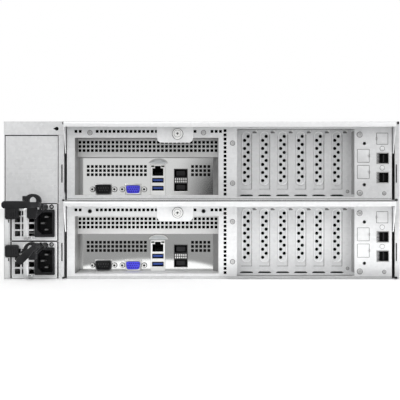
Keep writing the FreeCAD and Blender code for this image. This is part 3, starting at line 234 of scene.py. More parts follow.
def putPiece(name, body, groups, replaced=(), bevel=0.0):
    # Joins shapes with their finishes into one mesh, merges doubles and turns the faces outwards.
    points, faces, picks, finishesUsed, start = [], [], [], [], 0
    for (vertices, polygons), finish in groups:
        if finish not in finishesUsed:
            finishesUsed.append(finish)
        faces += [group + start for group in polygons]
        picks += [np.full(len(group), finishesUsed.index(finish)) for group in polygons]
        points.append(vertices)
        start += len(vertices)
    loops = np.concatenate([group.ravel() for group in faces])
    sizes = np.concatenate([np.full(len(group), group.shape[1]) for group in faces])
    mesh = bpy.data.meshes.new(name)
    mesh.vertices.add(start)
    mesh.vertices.foreach_set("co", (np.concatenate(points) / 1000).ravel())
    mesh.loops.add(len(loops))
    mesh.loops.foreach_set("vertex_index", loops)
    mesh.polygons.add(len(sizes))
    mesh.polygons.foreach_set("loop_start", np.concatenate([[0], np.cumsum(sizes)[:-1]]))
    mesh.polygons.foreach_set("material_index", np.concatenate(picks))
    mesh.update(calc_edges=True)
    work = bmesh.new()
    work.from_mesh(mesh)
    bmesh.ops.remove_doubles(work, verts=work.verts, dist=meshForm["mergeGap"])
    bmesh.ops.dissolve_degenerate(work, edges=work.edges, dist=meshForm["slimEdge"])
    bmesh.ops.recalc_face_normals(work, faces=work.faces)
    work.to_mesh(mesh)
    work.free()
    mesh.polygons.foreach_set("use_smooth", np.ones(len(mesh.polygons), bool))
    mesh.set_sharp_from_angle(angle=math.radians(meshForm["sharpAngle"]))
    for finish in finishesUsed:
        mesh.materials.append(finishes[finish])
    piece = bpy.data.objects.new(name, mesh)
    bpy.context.scene.collection.objects.link(piece)
    if bevel:
        easeEdges(piece, bevel)
    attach(piece, body)
    if replaced:
        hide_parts(*replaced)


# Finishes: node groups give tone, gloss and relief, and each material sets its own colours on them.
def addNode(tree, kind, inputs=None, **settings):
    # A node with its settings, and numbers, colours or wires on its input sockets.
    node = tree.nodes.new(kind)
    for key, value in settings.items():
        setattr(node, key, value)
    for key, value in (inputs or {}).items():
        if isinstance(value, bpy.types.NodeSocket):
            tree.links.new(value, node.inputs[key])
        else:
            node.inputs[key].default_value = value
    return node


def noiseOf(tree, place, scale, detail=3.0):
    # Height of a soft noise at a place.
    inputs = {"Vector": place, "Scale": scale, "Detail": detail}
    return addNode(tree, "ShaderNodeTexNoise", inputs).outputs[0]


def rangeOf(tree, value, start, end, low=0.0, high=1.0):
    # The span from start to end carried onto the span from low to high, and held at its ends beyond that.
    span = {"Value": value, "From Min": start, "From Max": end, "To Min": low, "To Max": high}
    return addNode(tree, "ShaderNodeMapRange", span).outputs[0]


def mathOf(tree, operation, *terms):
    # One sum with numbers or wires.
    return addNode(tree, "ShaderNodeMath", dict(enumerate(terms)), operation=operation).outputs[0]


def weighted(tree, terms):
    # Sum of each wire times its weight.
    total = 0.0
    for wire, weight in terms:
        total = mathOf(tree, "MULTIPLY_ADD", wire, weight, total)
    return total


def skinGroup(name, inputs, outputs=("Tone", "Gloss", "Relief")):
    # An empty group with named inputs and outputs, and the place on the surface that its patterns read.
    tree = bpy.data.node_groups.new(name, "ShaderNodeTree")
    for label, value in inputs.items():
        tree.interface.new_socket(label, in_out="INPUT", socket_type="NodeSocketFloat").default_value = value
    for label in outputs:
        tree.interface.new_socket(label, in_out="OUTPUT", socket_type="NodeSocketFloat")
    given = tree.nodes.new("NodeGroupInput").outputs
    put = tree.nodes.new("NodeGroupOutput").inputs
    place = addNode(tree, "ShaderNodeTexCoord").outputs["Object"]
    return tree, given, put, place


def platedSkin():
    # Zinc coat: small crystals over cloudy patches, with the sheet's rolling lines along X.
    tree, given, put, place = skinGroup("platedSkin", {"Crystal": 320.0, "Cloud": 14.0})
    crystal = addNode(tree, "ShaderNodeTexVoronoi", {"Vector": place, "Scale": given["Crystal"]}).outputs["Color"]
    cloud = noiseOf(tree, place, given["Cloud"], 4.0)
    drawn = addNode(tree, "ShaderNodeMapping", {"Vector": place, "Scale": (5, 60, 700)}).outputs["Vector"]
    lines = noiseOf(tree, drawn, 1.0)
    tree.links.new(weighted(tree, [(crystal, 0.22), (cloud, 0.56), (lines, 0.22)]), put["Tone"])
    tree.links.new(weighted(tree, [(cloud, 0.5), (lines, 0.5)]), put["Gloss"])
    tree.links.new(weighted(tree, [(noiseOf(tree, place, 1500.0), 0.5), (lines, 0.3), (crystal, 0.2)]), put["Relief"])
    return tree


def brushedSkin():
    # Turned or drawn metal: fine lines round or along the piece and soft handling marks.
    tree, given, put, place = skinGroup("brushedSkin", {"Line": 900.0, "Mark": 60.0})
    drawn = addNode(tree, "ShaderNodeMapping", {"Vector": place, "Scale": (0.03, 1.0, 1.0)}).outputs["Vector"]
    lines = noiseOf(tree, drawn, given["Line"])
    mark = noiseOf(tree, place, given["Mark"], 4.0)
    tree.links.new(weighted(tree, [(lines, 0.55), (mark, 0.45)]), put["Tone"])
    tree.links.new(weighted(tree, [(mark, 0.7), (lines, 0.3)]), put["Gloss"])
    tree.links.new(lines, put["Relief"])
    return tree


def mouldedSkin():
    # Moulded plastic: spark-eroded grain and patches rubbed smoother.
    tree, given, put, place = skinGroup("mouldedSkin", {"Grain": 1800.0, "Rub": 70.0})
    grain = noiseOf(tree, place, given["Grain"], 2.0)
    rub = noiseOf(tree, place, given["Rub"], 4.0)
    tree.links.new(weighted(tree, [(rub, 0.6), (grain, 0.4)]), put["Tone"])
    tree.links.new(weighted(tree, [(rub, 0.75), (grain, 0.25)]), put["Gloss"])
    tree.links.new(grain, put["Relief"])
    return tree


def coatedSkin():
    # Powder coat: rounded orange peel with a little speckle.
    tree, given, put, place = skinGroup("coatedSkin", {"Peel": 700.0, "Cloud": 18.0})
    peel = addNode(tree, "ShaderNodeTexVoronoi", {"Vector": place, "Scale": given["Peel"]},
                   feature="SMOOTH_F1").outputs["Distance"]
    cloud = noiseOf(tree, place, given["Cloud"], 4.0)
    tree.links.new(weighted(tree, [(cloud, 0.7), (peel, 0.3)]), put["Tone"])
    tree.links.new(cloud, put["Gloss"])
    tree.links.new(peel, put["Relief"])
    return tree


def laminateSkin():
    # Circuit board: tracks as thin bands of a brick pattern under the solder mask, over a woven ground.
    tree, given, put, place = skinGroup("laminateSkin", {"Track": 160.0, "Weave": 900.0})
    tracks = addNode(tree, "ShaderNodeTexBrick", {"Vector": place, "Scale": given["Track"], "Mortar Size": 0.06,
                     "Brick Width": 1.9, "Row Height": 0.3, "Color1": (0.3, 0.3, 0.3, 1),
                     "Color2": (0.5, 0.5, 0.5, 1), "Mortar": (0.9, 0.9, 0.9, 1)}).outputs["Color"]
    weave = noiseOf(tree, place, given["Weave"], 2.0)
    tree.links.new(weighted(tree, [(tracks, 0.75), (weave, 0.25)]), put["Tone"])
    tree.links.new(weave, put["Gloss"])
    tree.links.new(tracks, put["Relief"])
    return tree


def edgeWear():
    # Wear along edges: where a rounded normal leaves the flat one, broken up by noise.
    tree, given, put, place = skinGroup("edgeWear", {"Width": 0.0007, "Break": 220.0}, ("Wear",))
    rounded = addNode(tree, "ShaderNodeBevel", {"Radius": given["Width"]}, samples=4).outputs["Normal"]
    flat = addNode(tree, "ShaderNodeNewGeometry").outputs["Normal"]
    match = addNode(tree, "ShaderNodeVectorMath", {0: rounded, 1: flat}, operation="DOT_PRODUCT").outputs["Value"]
    edge = rangeOf(tree, match, 0.995, 0.85)
    broken = rangeOf(tree, noiseOf(tree, place, given["Break"], 4.0), 0.35, 0.62)
    tree.links.new(mathOf(tree, "MULTIPLY", edge, broken), put["Wear"])
    return tree


def settledDust():
    # Dust on faces that look up, thicker in cloudy patches.
    tree, given, put, place = skinGroup("settledDust", {"Patch": 26.0}, ("Dust",))
    normal = addNode(tree, "ShaderNodeNewGeometry").outputs["Normal"]
    upward = addNode(tree, "ShaderNodeSeparateXYZ", {0: normal}).outputs["Z"]
    patch = noiseOf(tree, place, given["Patch"], 5.0)
    tree.links.new(mathOf(tree, "MULTIPLY", rangeOf(tree, upward, 0.6, 0.98), patch), put["Dust"])
    return tree


skins = {"plated": platedSkin(), "brushed": brushedSkin(), "moulded": mouldedSkin(), "coated": coatedSkin(),
         "laminate": laminateSkin()}
wearGroup, dustGroup = edgeWear(), settledDust()
finishForm = {"span": (0.3, 0.7), "dust": (0.52, 0.5, 0.47, 1), "bumpHeight": 0.0004}
finishes = {}


def mixed(tree, factor, first, second):
    # The first colour turned into the second by the factor.
    inputs = {0: factor, 6: first, 7: second}
    return addNode(tree, "ShaderNodeMix", inputs, data_type="RGBA").outputs[2]


def makeFinish(name, skin, dark, light, metal, rough, relief=0.08, skinInputs=None, worn=None, dusty=0.0, glow=None,
               shine=0.5):
    # Tone mixes the two colours, gloss spans the roughness, relief drives a bump; wear and dust lie over them.
    material = bpy.data.materials.new(name)
    material.use_nodes = True
    tree = material.node_tree
    shader = tree.nodes["Principled BSDF"]
    shader.inputs["Specular IOR Level"].default_value = shine
    grain = addNode(tree, "ShaderNodeGroup", node_tree=skins[skin])
    for label, value in (skinInputs or {}).items():
        grain.inputs[label].default_value = value
    tone = rangeOf(tree, grain.outputs["Tone"], *finishForm["span"])
    colour = mixed(tree, tone, (*dark, 1), (*light, 1))
    if worn:
        wear = addNode(tree, "ShaderNodeGroup", node_tree=wearGroup).outputs["Wear"]
        colour = mixed(tree, wear, colour, (*worn, 1))
    if dusty:
        dust = addNode(tree, "ShaderNodeGroup", node_tree=dustGroup).outputs["Dust"]
        colour = mixed(tree, mathOf(tree, "MULTIPLY", dust, dusty), colour, finishForm["dust"])
    tree.links.new(colour, shader.inputs["Base Color"])
    tree.links.new(rangeOf(tree, grain.outputs["Gloss"], *finishForm["span"], *rough), shader.inputs["Roughness"])
    bump = addNode(tree, "ShaderNodeBump", {"Strength": relief, "Distance": finishForm["bumpHeight"],
                                            "Height": grain.outputs["Relief"]})
    tree.links.new(bump.outputs[0], shader.inputs["Normal"])
    shader.inputs["Metallic"].default_value = metal
    if glow:
        tree.links.new(colour, shader.inputs["Emission Color"])
        shader.inputs["Emission Strength"].default_value = glow
    finishes[name] = material


makeFinish("zincSteel", "plated", (0.60, 0.605, 0.61), (0.74, 0.745, 0.75), 0.55, (0.36, 0.5), 0.05,
           worn=(0.84, 0.84, 0.84), dusty=0.12)
makeFinish("panelSteel", "plated", (0.64, 0.645, 0.65), (0.76, 0.765, 0.77), 0.5, (0.36, 0.5), 0.04,
           worn=(0.86, 0.86, 0.86))
makeFinish("shieldSteel", "plated", (0.66, 0.66, 0.655), (0.72, 0.72, 0.715), 0.5, (0.34, 0.44), 0.01, {"Cloud": 8.0},
           worn=(0.86, 0.86, 0.86))
makeFinish("lidSteel", "plated", (0.76, 0.765, 0.77), (0.86, 0.865, 0.87), 0.45, (0.34, 0.46), 0.04,
           worn=(0.92, 0.92, 0.92), dusty=0.12)
makeFinish("supplySteel", "plated", (0.66, 0.665, 0.67), (0.79, 0.795, 0.8), 0.5, (0.34, 0.46), 0.04,
           worn=(0.88, 0.88, 0.88))
# paintedLitSill: a paler, nearly matte copy of the plated zinc, painted light for the recess floor
makeFinish("paintedLitSill", "plated", (0.80, 0.80, 0.805), (0.90, 0.90, 0.905), 0.1, (0.55, 0.7), 0.04, dusty=0.1)
makeFinish("handleSteel", "brushed", (0.80, 0.805, 0.81), (0.92, 0.925, 0.93), 0.6, (0.3, 0.42), 0.06,
           worn=(0.92, 0.92, 0.92))
makeFinish("nickel", "brushed", (0.66, 0.65, 0.63), (0.84, 0.83, 0.81), 0.95, (0.18, 0.32), 0.05)
makeFinish("portShell", "brushed", (0.60, 0.60, 0.59), (0.76, 0.76, 0.75), 0.9, (0.24, 0.36), 0.05)
makeFinish("finAluminium", "brushed", (0.62, 0.63, 0.64), (0.78, 0.79, 0.8), 0.9, (0.3, 0.44), 0.06, dusty=0.2)
makeFinish("boardGreen", "laminate", (0.008, 0.06, 0.028), (0.02, 0.13, 0.055), 0.0, (0.32, 0.45), 0.1, dusty=0.1)
makeFinish("blackPlastic", "moulded", (0.006, 0.006, 0.007), (0.018, 0.018, 0.020), 0.0, (0.42, 0.6), 0.1,
           worn=(0.04, 0.04, 0.045), shine=0.3)
makeFinish("nylonBlack", "moulded", (0.007, 0.007, 0.008), (0.02, 0.02, 0.022), 0.0, (0.4, 0.55), 0.06,
           worn=(0.035, 0.035, 0.035), shine=0.22)
makeFinish("socketDark", "moulded", (0.002, 0.002, 0.002), (0.006, 0.006, 0.006), 0.0, (0.7, 0.85), 0.05, shine=0.1)
# blackShade: matte black without shine, painted shade behind holes and slots
makeFinish("blackShade", "moulded", (0.002, 0.002, 0.002), (0.007, 0.007, 0.007), 0.0, (0.85, 0.95), 0.6,
           {"Grain": 900.0}, shine=0.0)
makeFinish("darkShell", "brushed", (0.035, 0.035, 0.036), (0.08, 0.08, 0.082), 0.5, (0.38, 0.52), 0.05)
makeFinish("brightShell", "brushed", (0.82, 0.82, 0.81), (0.93, 0.93, 0.92), 0.6, (0.3, 0.42), 0.05)
makeFinish("violetInsert", "moulded", (0.07, 0.065, 0.7), (0.1, 0.095, 0.92), 0.0, (0.4, 0.55), 0.06, shine=0.3)
# violetPitShade: a darker copy of the violet, painted shade in pin holes
makeFinish("violetPitShade", "moulded", (0.02, 0.02, 0.26), (0.035, 0.03, 0.36), 0.0, (0.5, 0.65), 0.05, shine=0.2)
# blueShade: a much darker copy of the blue, painted shade inside socket mouths
makeFinish("blueShade", "moulded", (0.003, 0.007, 0.035), (0.006, 0.014, 0.06), 0.0, (0.5, 0.65), 0.06, shine=0.2)
makeFinish("blueInsert", "moulded", (0.02, 0.06, 0.3), (0.04, 0.1, 0.46), 0.0, (0.35, 0.5), 0.06)
makeFinish("darkPin", "brushed", (0.05, 0.05, 0.05), (0.1, 0.1, 0.1), 0.6, (0.4, 0.5), 0.03)
makeFinish("screwZinc", "brushed", (0.42, 0.42, 0.42), (0.6, 0.6, 0.6), 0.55, (0.36, 0.5), 0.06)
makeFinish("greyPlastic", "moulded", (0.22, 0.22, 0.225), (0.34, 0.34, 0.345), 0.0, (0.4, 0.55), 0.08)
makeFinish("whitePlastic", "moulded", (0.62, 0.62, 0.6), (0.74, 0.74, 0.72), 0.0, (0.35, 0.5), 0.06)
makeFinish("grooveShade", "plated", (0.12, 0.12, 0.12), (0.2, 0.2, 0.2), 0.2, (0.5, 0.65), 0.05)
makeFinish("frontPaint", "coated", (0.018, 0.019, 0.021), (0.04, 0.042, 0.046), 0.0, (0.42, 0.58), 0.12,
           worn=(0.2, 0.2, 0.2), dusty=0.1)
makeFinish("carrierPlastic", "moulded", (0.02, 0.021, 0.023), (0.045, 0.047, 0.05), 0.0, (0.4, 0.55), 0.1,
           worn=(0.1, 0.1, 0.1))
makeFinish("buttonPlastic", "moulded", (0.3, 0.31, 0.32), (0.44, 0.45, 0.46), 0.0, (0.3, 0.45), 0.06)
# browShadeSteel: a darker copy of the steel, painted shade under the pressed arc
makeFinish("browShadeSteel", "plated", (0.5, 0.52, 0.53), (0.6, 0.62, 0.63), 0.8, (0.25, 0.35), 0.02)
# dishWall: a paler copy of the plated finish, a painted highlight on the slot covers' dish walls and rolled rims; the
# spring strips take it too
makeFinish("dishWall", "plated", (0.86, 0.865, 0.87), (0.95, 0.955, 0.96), 0.35, (0.3, 0.4), 0.03)
# wallShadeSteel: a dark grey, painted shade for the walls of the recesses
makeFinish("wallShadeSteel", "plated", (0.26, 0.26, 0.26), (0.34, 0.34, 0.34), 0.3, (0.4, 0.55), 0.04)
makeFinish("driveCase", "brushed", (0.3, 0.305, 0.31), (0.42, 0.425, 0.43), 0.8, (0.34, 0.48), 0.08, dusty=0.1)
makeFinish("fanBlade", "moulded", (0.012, 0.012, 0.013), (0.03, 0.03, 0.032), 0.0, (0.3, 0.42), 0.05)
makeFinish("carrierMesh", "coated", (0.03, 0.031, 0.033), (0.06, 0.062, 0.066), 0.6, (0.4, 0.52), 0.1)
makeFinish("dullLens", "moulded", (0.03, 0.035, 0.03), (0.06, 0.065, 0.05), 0.0, (0.3, 0.45), 0.03)
makeFinish("greenLed", "moulded", (0.05, 0.5, 0.1), (0.12, 0.75, 0.2), 0.0, (0.2, 0.3), 0.02, glow=0.6)


polishForm = {"behindTips": 0.006, "rough": (0.04, 0.07), "colour": (0.65, 0.655, 0.65), "cloudy": 0.93,
              "cloudScale": 30.0, "blend": 0.0004, "wallShadeReach": (0.036, 0.001), "wallShadeTones": (0.42, 0.09),
              "wallShadeShare": 0.86}


def polishPlane(name, depth):
    # Inside the given depth the sheet is bare and bright: colour, metal and roughness change over there alone.
    form = polishForm
    tree = finishes[name].node_tree
    shader = tree.nodes["Principled BSDF"]
    usual = {label: shader.inputs[label].links[0].from_socket for label in ("Base Color", "Roughness")}
    place = addNode(tree, "ShaderNodeTexCoord").outputs["Object"]
    inward = addNode(tree, "ShaderNodeSeparateXYZ", {0: place}).outputs["Y"]
    deep = rangeOf(tree, inward, depth - form["blend"], depth)
    cloud = noiseOf(tree, place, form["cloudScale"], 4.0)
    dull = tuple(form["cloudy"] * level for level in form["colour"])
    colour = mixed(tree, deep, usual["Base Color"], mixed(tree, cloud, (*dull, 1), (*form["colour"], 1)))
    gloss = rangeOf(tree, cloud, 0.0, 1.0, *form["rough"])
    gloss = addNode(tree, "ShaderNodeMix", {0: deep, 2: usual["Roughness"], 3: gloss}).outputs[0]
    tree.links.new(gloss, shader.inputs["Roughness"])
    metal = rangeOf(tree, deep, 0.0, 1.0, shader.inputs["Metallic"].default_value, 1.0)
    tree.links.new(metal, shader.inputs["Metallic"])
    # walls and ceiling of the recess are darkened, more so deeper in: painted shade
    normal = addNode(tree, "ShaderNodeNewGeometry").outputs["True Normal"]
    turn = addNode(tree, "ShaderNodeSeparateXYZ", {0: normal}).outputs
    sideways, downward = mathOf(tree, "ABSOLUTE", turn["X"]), mathOf(tree, "MULTIPLY", turn["Z"], -1.0)
    wall = rangeOf(tree, mathOf(tree, "MAXIMUM", sideways, downward), 0.5, 0.9, 0.0, form["wallShadeShare"])
    outer, inmost = form["wallShadeReach"]
    inner = rangeOf(tree, inward, depth - outer, depth - inmost)
    inner = rangeOf(tree, mathOf(tree, "MULTIPLY_ADD", inner, cloud, -0.2), -0.2, 0.32)
    shade = mixed(tree, inner, *[(level, level, level, 1) for level in form["wallShadeTones"]])
    tree.links.new(mixed(tree, wall, colour, shade), shader.inputs["Base Color"])


polishPlane("shieldSteel", cornersOf("lower_io_ports")[0][1] / 1000 + polishForm["behindTips"])

nodeFinish = {
    "zincSteel": ["chassis_shell", "top_cover", "power_cage", "blank_panel", "canister_shelf", "drive_cage", "tray"],
    "panelSteel": ["rear_panel"], "shieldSteel": ["io_panel"], "lidSteel": ["lid"], "supplySteel": ["psu_housing"],
    "handleSteel": ["handle"], "nickel": ["thumbscrew"], "portShell": ["io_ports"], "finAluminium": ["heatsinks"],
    "boardGreen": ["mainboard", "midplane_board"], "blackPlastic": ["storage_ports", "fans", "inlet", "latch"],
    "nylonBlack": ["cord_strap", "cord_clamp"], "buttonPlastic": ["power_button"],
    "frontPaint": ["front_panel", "rack_ears"], "carrierPlastic": ["drive_carrier"]}
for finish, endings in nodeFinish.items():
    for label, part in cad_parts.items():
        if any(ending in label for ending in endings):
            for holder in part.material_slots:
                holder.material = finishes[finish]
print("finishes made:", len(finishes))


# Canister pieces. Places are from the lower left rear corner of a canister, across and up.
coverForm = {"width": 18.4, "count": 6, "dish": (10.6, 60.4), "dishDepth": 1.5, "dishSlope": 1.15, "sheet": 0.8,
             "holeRadius": 1.9, "holePitch": 9.06, "spread": 3.96, "lowHole": 21.6, "columnHoles": 6,
             "tailSlot": (14.6, 1.0), "tailRise": 4.6, "catchShade": (4.6, 2.0), "catchShadeRise": 75.7, "highlightBeadRise": 77.2,
             "openingFoot": 11.7, "openingHead": 10.9, "openingRight": 5.9, "sill": 12.0, "shadeLiner": (19.0, 316.8),
             "rolledRim": ((-0.1, 0.3), (-0.1, -1.15), (0.1, -1.4), (0.45, -1.4), (0.75, -1.0), (0.75, 0.3))}


def makeSlotCovers(side):
    # A plate with a sunk long field: a frame with a sloping inner wall before a sheet with two columns of holes.
    low, high = cornersOf(side + "_slot_covers")
    panelLow, panelHigh = cornersOf(side + "_rear_panel")
    floor = panelLow[2]
    form = coverForm
    half = form["width"] / 2
    pitch = (high[0] - low[0] - form["width"]) / (form["count"] - 1)
    middle = np.array([0.0, (low[2] + high[2]) / 2])
    height = high[2] - low[2]
    front, back = low[1], low[1] + form["dishDepth"]
    firstHole = floor + form["lowHole"]
    dishMiddle = (0.0, firstHole + form["holePitch"] * (form["columnHoles"] - 0.5) / 2)
    plate = roundedOutline(form["width"], height, 0.4)
    wide, tall = form["dish"]
    slope = form["dishSlope"]
    edge = roundedOutline(wide, tall, wide / 2 - 0.01)
    foot = roundedOutline(wide - 2 * slope, tall - 2 * slope, wide / 2 - slope - 0.01)
    rim = loft([facing(foot, back, dishMiddle), facing(plate, back, middle), facing(plate, front, middle),
                facing(edge, front, dishMiddle)], capFirst=False, capLast=False)
    wall = loft([facing(edge, front, dishMiddle), facing(foot, back, dishMiddle)], capFirst=False, capLast=False)
    gap, radius = form["spread"] / 2, form["holeRadius"]
    stepHalf = form["holePitch"] / 2
    rearFace = back + form["sheet"]
    leftTile = holeTile((gap - half, -stepHalf), (gap, stepHalf), radius, back, rearFace)
    rightTile = holeTile((-gap, -stepHalf), (half - gap, stepHalf), radius, back, rearFace)
    levels = firstHole + np.arange(form["columnHoles"]) * form["holePitch"]
    none = np.zeros(form["columnHoles"])
    leftHoles = copies(leftTile, np.column_stack([none - gap, none, levels]))
    rightHoles = copies(rightTile, np.column_stack([none + gap, none, levels + stepHalf]))
    shapes = [rim, leftHoles, rightHoles]
    # plain strips close the sheet above and below each column
    for across, start in ((-half / 2, levels[0] - stepHalf), (half / 2, levels[0])):
        end = start + form["columnHoles"] * form["holePitch"]
        for bottom, top in ((low[2], start), (end, high[2])):
            shapes.append(pad(half, top - bottom, 0.02, back, rearFace, (across, (bottom + top) / 2), 0.01, 2))
    spots = np.zeros((form["count"], 3))
    spots[:, 0] = low[0] + half + pitch * np.arange(form["count"])
    # the dish's sloping wall takes the paler finish: painted highlight
    groups = [(copies(shape, spots), "panelSteel") for shape in shapes] + [(copies(wall, spots), "dishWall")]
    putPiece(side + "_slotCovers", side + "_canister", groups, [side + "_slot_covers"])
    # near-black tail slots below the covers, painted shade of the slots; above each gap between them a dark pad,
    # painted shade of the hold-down catch's notch, beside a bump in the bright finish, a painted highlight
    slot = pad(*form["tailSlot"], 0.4, front - 1.1, front - 0.5, (0, 0), 0.05)
    catchShade = pad(*form["catchShade"], 0.8, front - 1.9, front - 0.5, (0, 0), 0.4)
    highlightBead = turned([1.3, 1.3, 0.9, 0.1], [front - 0.5, front - 1.8, front - 2.3, front - 2.4], (0, 0), 16)
    groups = [(copies(slot, spots + (0, 0, floor + form["tailRise"])), "socketDark"),
              (copies(catchShade, spots + (pitch / 2 - 1.0, 0, floor + form["catchShadeRise"])), "grooveShade"),
              (copies(highlightBead, spots + (pitch / 2 + 0.9, 0, floor + form["highlightBeadRise"])), "brightShell")]
    # shade line down the right and along the foot of each opening, and the rolled rim of the dish standing through it
    # in the paler finish, a painted highlight
    bottom, top = floor + form["openingFoot"], panelHigh[2] - form["openingHead"]
    right = (form["openingRight"], (bottom + top) / 2)
    reveal = pad(0.45, top - bottom, 0.1, front - 0.9, front + 0.02, right, 0.05)
    sill = pad(form["sill"], 0.4, 0.1, front - 0.9, front + 0.02, (0, bottom + 0.2), 0.05)
    groups += [(copies(shape, spots), "grooveShade") for shape in (reveal, sill)]

    def oval(inset, depth):
        # the dish's outline moved in by the inset
        outline = roundedOutline(wide - 2 * inset, tall - 2 * inset, wide / 2 - inset - 0.01, 8)
        return facing(outline, front + depth, dishMiddle)

    rolled = loft([oval(inset, depth) for inset, depth in form["rolledRim"]], wrap=True)
    groups.append((copies(rolled, spots), "dishWall"))
    # a dark liner on the right wall of the slot recess: painted shade
    shadeLinerWidth, shadeLinerPlace = form["shadeLiner"]
    shadeLiner = roundedOutline(shadeLinerWidth, panelHigh[2] - floor - 14.0, 0.5, 3)
    shadeLiner += (front - 11.5, (floor + panelHigh[2]) / 2 - 1.0)
    wallX = panelLow[0] + shadeLinerPlace
    groups.append((loft([endways(shadeLiner, wallX + 0.1), endways(shadeLiner, wallX - 0.2)]), "wallShadeSteel"))
    putPiece(side + "_slotCatches", side + "_canister", groups)
    # a matte black blind behind the covers: painted shade seen through their holes
    heart = ((low[0] + high[0]) / 2, dishMiddle[1])
    blind = pad(high[0] - low[0] - 2, tall + 6, 2.0, rearFace + 0.6, rearFace + 3.0, heart, 0.8)
    putPiece(side + "_slotBlind", side + "_canister", [(blind, "blackShade")])


panelFittings = {"screws": {"band": (2.3, 1.2, ((25.2, 73.8), (150.4, 73.9))),
                            "strip": (2.3, 1.2, ((182.4, 62.3), (182.4, 18.2))),
                            "panel": (2.7, 1.5, ((322.3, 71.7), (322.5, 7.5))), "small": (1.7, 1.0, ((349.4, 7.0),))},
                 "rivets": ((347.2, 56.3), (347.2, 35.1)), "grooveShadeLine": 1.4,
                 "cornerScrew": (312.4, 9.3), "recess": 21.9,
                 "knockouts": ((326.4, 48.4, 13.6, 14.8, 1), (326.4, 30.45, 13.6, 15.1, 1),
                               (347.2, 67.25, 13.0, 12.9, -1))}


def shadeDisc(radius, back, front, spot, count=24):
    # A flat dark disc that stands round a head as a shade line.
    return turned([radius, radius, 0.1], [back, front, front], spot, count), "grooveShade"


def makePanelFittings(side):
    # Screws, rivets and the cut outlines of the spare openings, set on the panel's face.
    low, high = cornersOf(side + "_rear_panel")
    face = low[1]
    groups = []
    for key, (radius, rise, places) in panelFittings["screws"].items():
        # the lower canister's band screws are smaller with near-black heads: painted shade of holes
        shadedAsHole = side == "lower" and key == "band"
        size, socket, finish = (radius - 0.5, 0.7, "socketDark") if shadedAsHole else (radius, 0.42, "screwZinc")
        for across, up in places:
            spot = (low[0] + across, low[2] + up)
            groups.append(shadeDisc(size + 0.55, face + 0.3, face - 0.1, spot))
            groups.append((screwHead(size, rise, face - 0.05, spot, socket), finish))
    bend = np.linspace(0, math.pi / 2, 6)
    radii = np.concatenate([[2.4], 0.4 + 2.0 * np.cos(bend)])
    out = np.concatenate([[-0.3], 0.1 + 0.9 * np.sin(bend)])
    for across, up in panelFittings["rivets"]:
        spot = (low[0] + across, low[2] + up)
        groups.append(shadeDisc(2.8, face + 0.3, face - 0.08, spot))
        groups.append((turned(radii, face - out, spot, 20), "panelSteel"))
    for across, up, width, height, toward in panelFittings["knockouts"]:
        middle = (low[0] + across, low[2] + up)
        groups.append((frameRing(width + 0.4, height + 0.4, 0.8, 0.7, face - 0.06, face + 0.3, middle),
                       "grooveShade"))
        groups.append((pad(width - 1.1, height - 1.1, 0.6, face - 0.16, face + 0.3, middle, 0.12), "panelSteel"))
        notch, tie = [(middle[0] + toward * (width / 2 - inset), middle[1]) for inset in (0.2, 0.9)]
        groups.append((pad(1.5, 3.4, 0.5, face - 0.1, face + 0.3, notch, 0.05), "grooveShade"))
        groups.append((pad(1.3, 2.2, 0.4, face - 0.16, face + 0.3, tie, 0.1), "panelSteel"))
    # a dark line low on the panel, painted shade of a rolled groove, and a small screw in the corner of the slot
    # recess
    line = ((low[0] + high[0]) / 2, low[2] + panelFittings["grooveShadeLine"])
    groups.append((pad(high[0] - low[0] - 1, 0.5, 0.2, face - 0.06, face + 0.3, line, 0.05), "grooveShade"))
    corner = (low[0] + panelFittings["cornerScrew"][0], low[2] + panelFittings["cornerScrew"][1])
    deep = face + panelFittings["recess"]
    groups.append(shadeDisc(1.9, deep + 0.5, deep, corner, 20))
    groups.append((screwHead(1.4, 0.9, deep + 0.05, corner), "screwZinc"))
    putPiece(side + "_panelFittings", side + "_canister", groups)


portForm = {"serial": 15.4, "display": 49.3, "network": 77.25, "optical": 103.4, "shellReach": 6.0,
            "block": (30.8, 12.5), "postSpread": 12.5, "postRadius": 2.5, "networkBox": (16.3, 34.6, 26.0),
            "opticalBox": (15.4, 26.0, 46.0), "brow": (10.4, 5.6), "browPlace": (0.6, 35.1), "recessLeft": 28.1,
            "recessWidth": 158.4, "sillDepth": 36.6, "cheek": (10.6, 5.6, 42.2), "storage": (13.3, 12.0),
            "storageInset": 9.95, "storageLevels": (24.4, 45.6)}


def portPlace(side):
    # Lowest corner of a canister's ports, the plane of their sheet, and the left edge of their recess.
    low = cornersOf(side + "_io_ports")[0]
    return low, low[1] + portForm["shellReach"], low[0] + portForm["serial"] - portForm["recessLeft"]


def dShell(middle, grow, depth):
    # D outline: a trapezium, wider above, its corners rounded; grow moves the sides out.
    top, bottom, half = 9.3 + grow, 8.2 + grow, 5.6 + grow
    corners = [(-bottom, -half), (bottom, -half), (top, half), (-top, half)]
    return facing(softPolygon(corners, 2.6, 5), depth, middle)


def boxSleeve(width, height, radius, front, back, middle):
    # A rounded tube from front to back, closed at the back only.
    outline = roundedOutline(width, height, radius, 3)
    return loft([facing(outline, front, middle), facing(outline, back, middle)], capFirst=False)


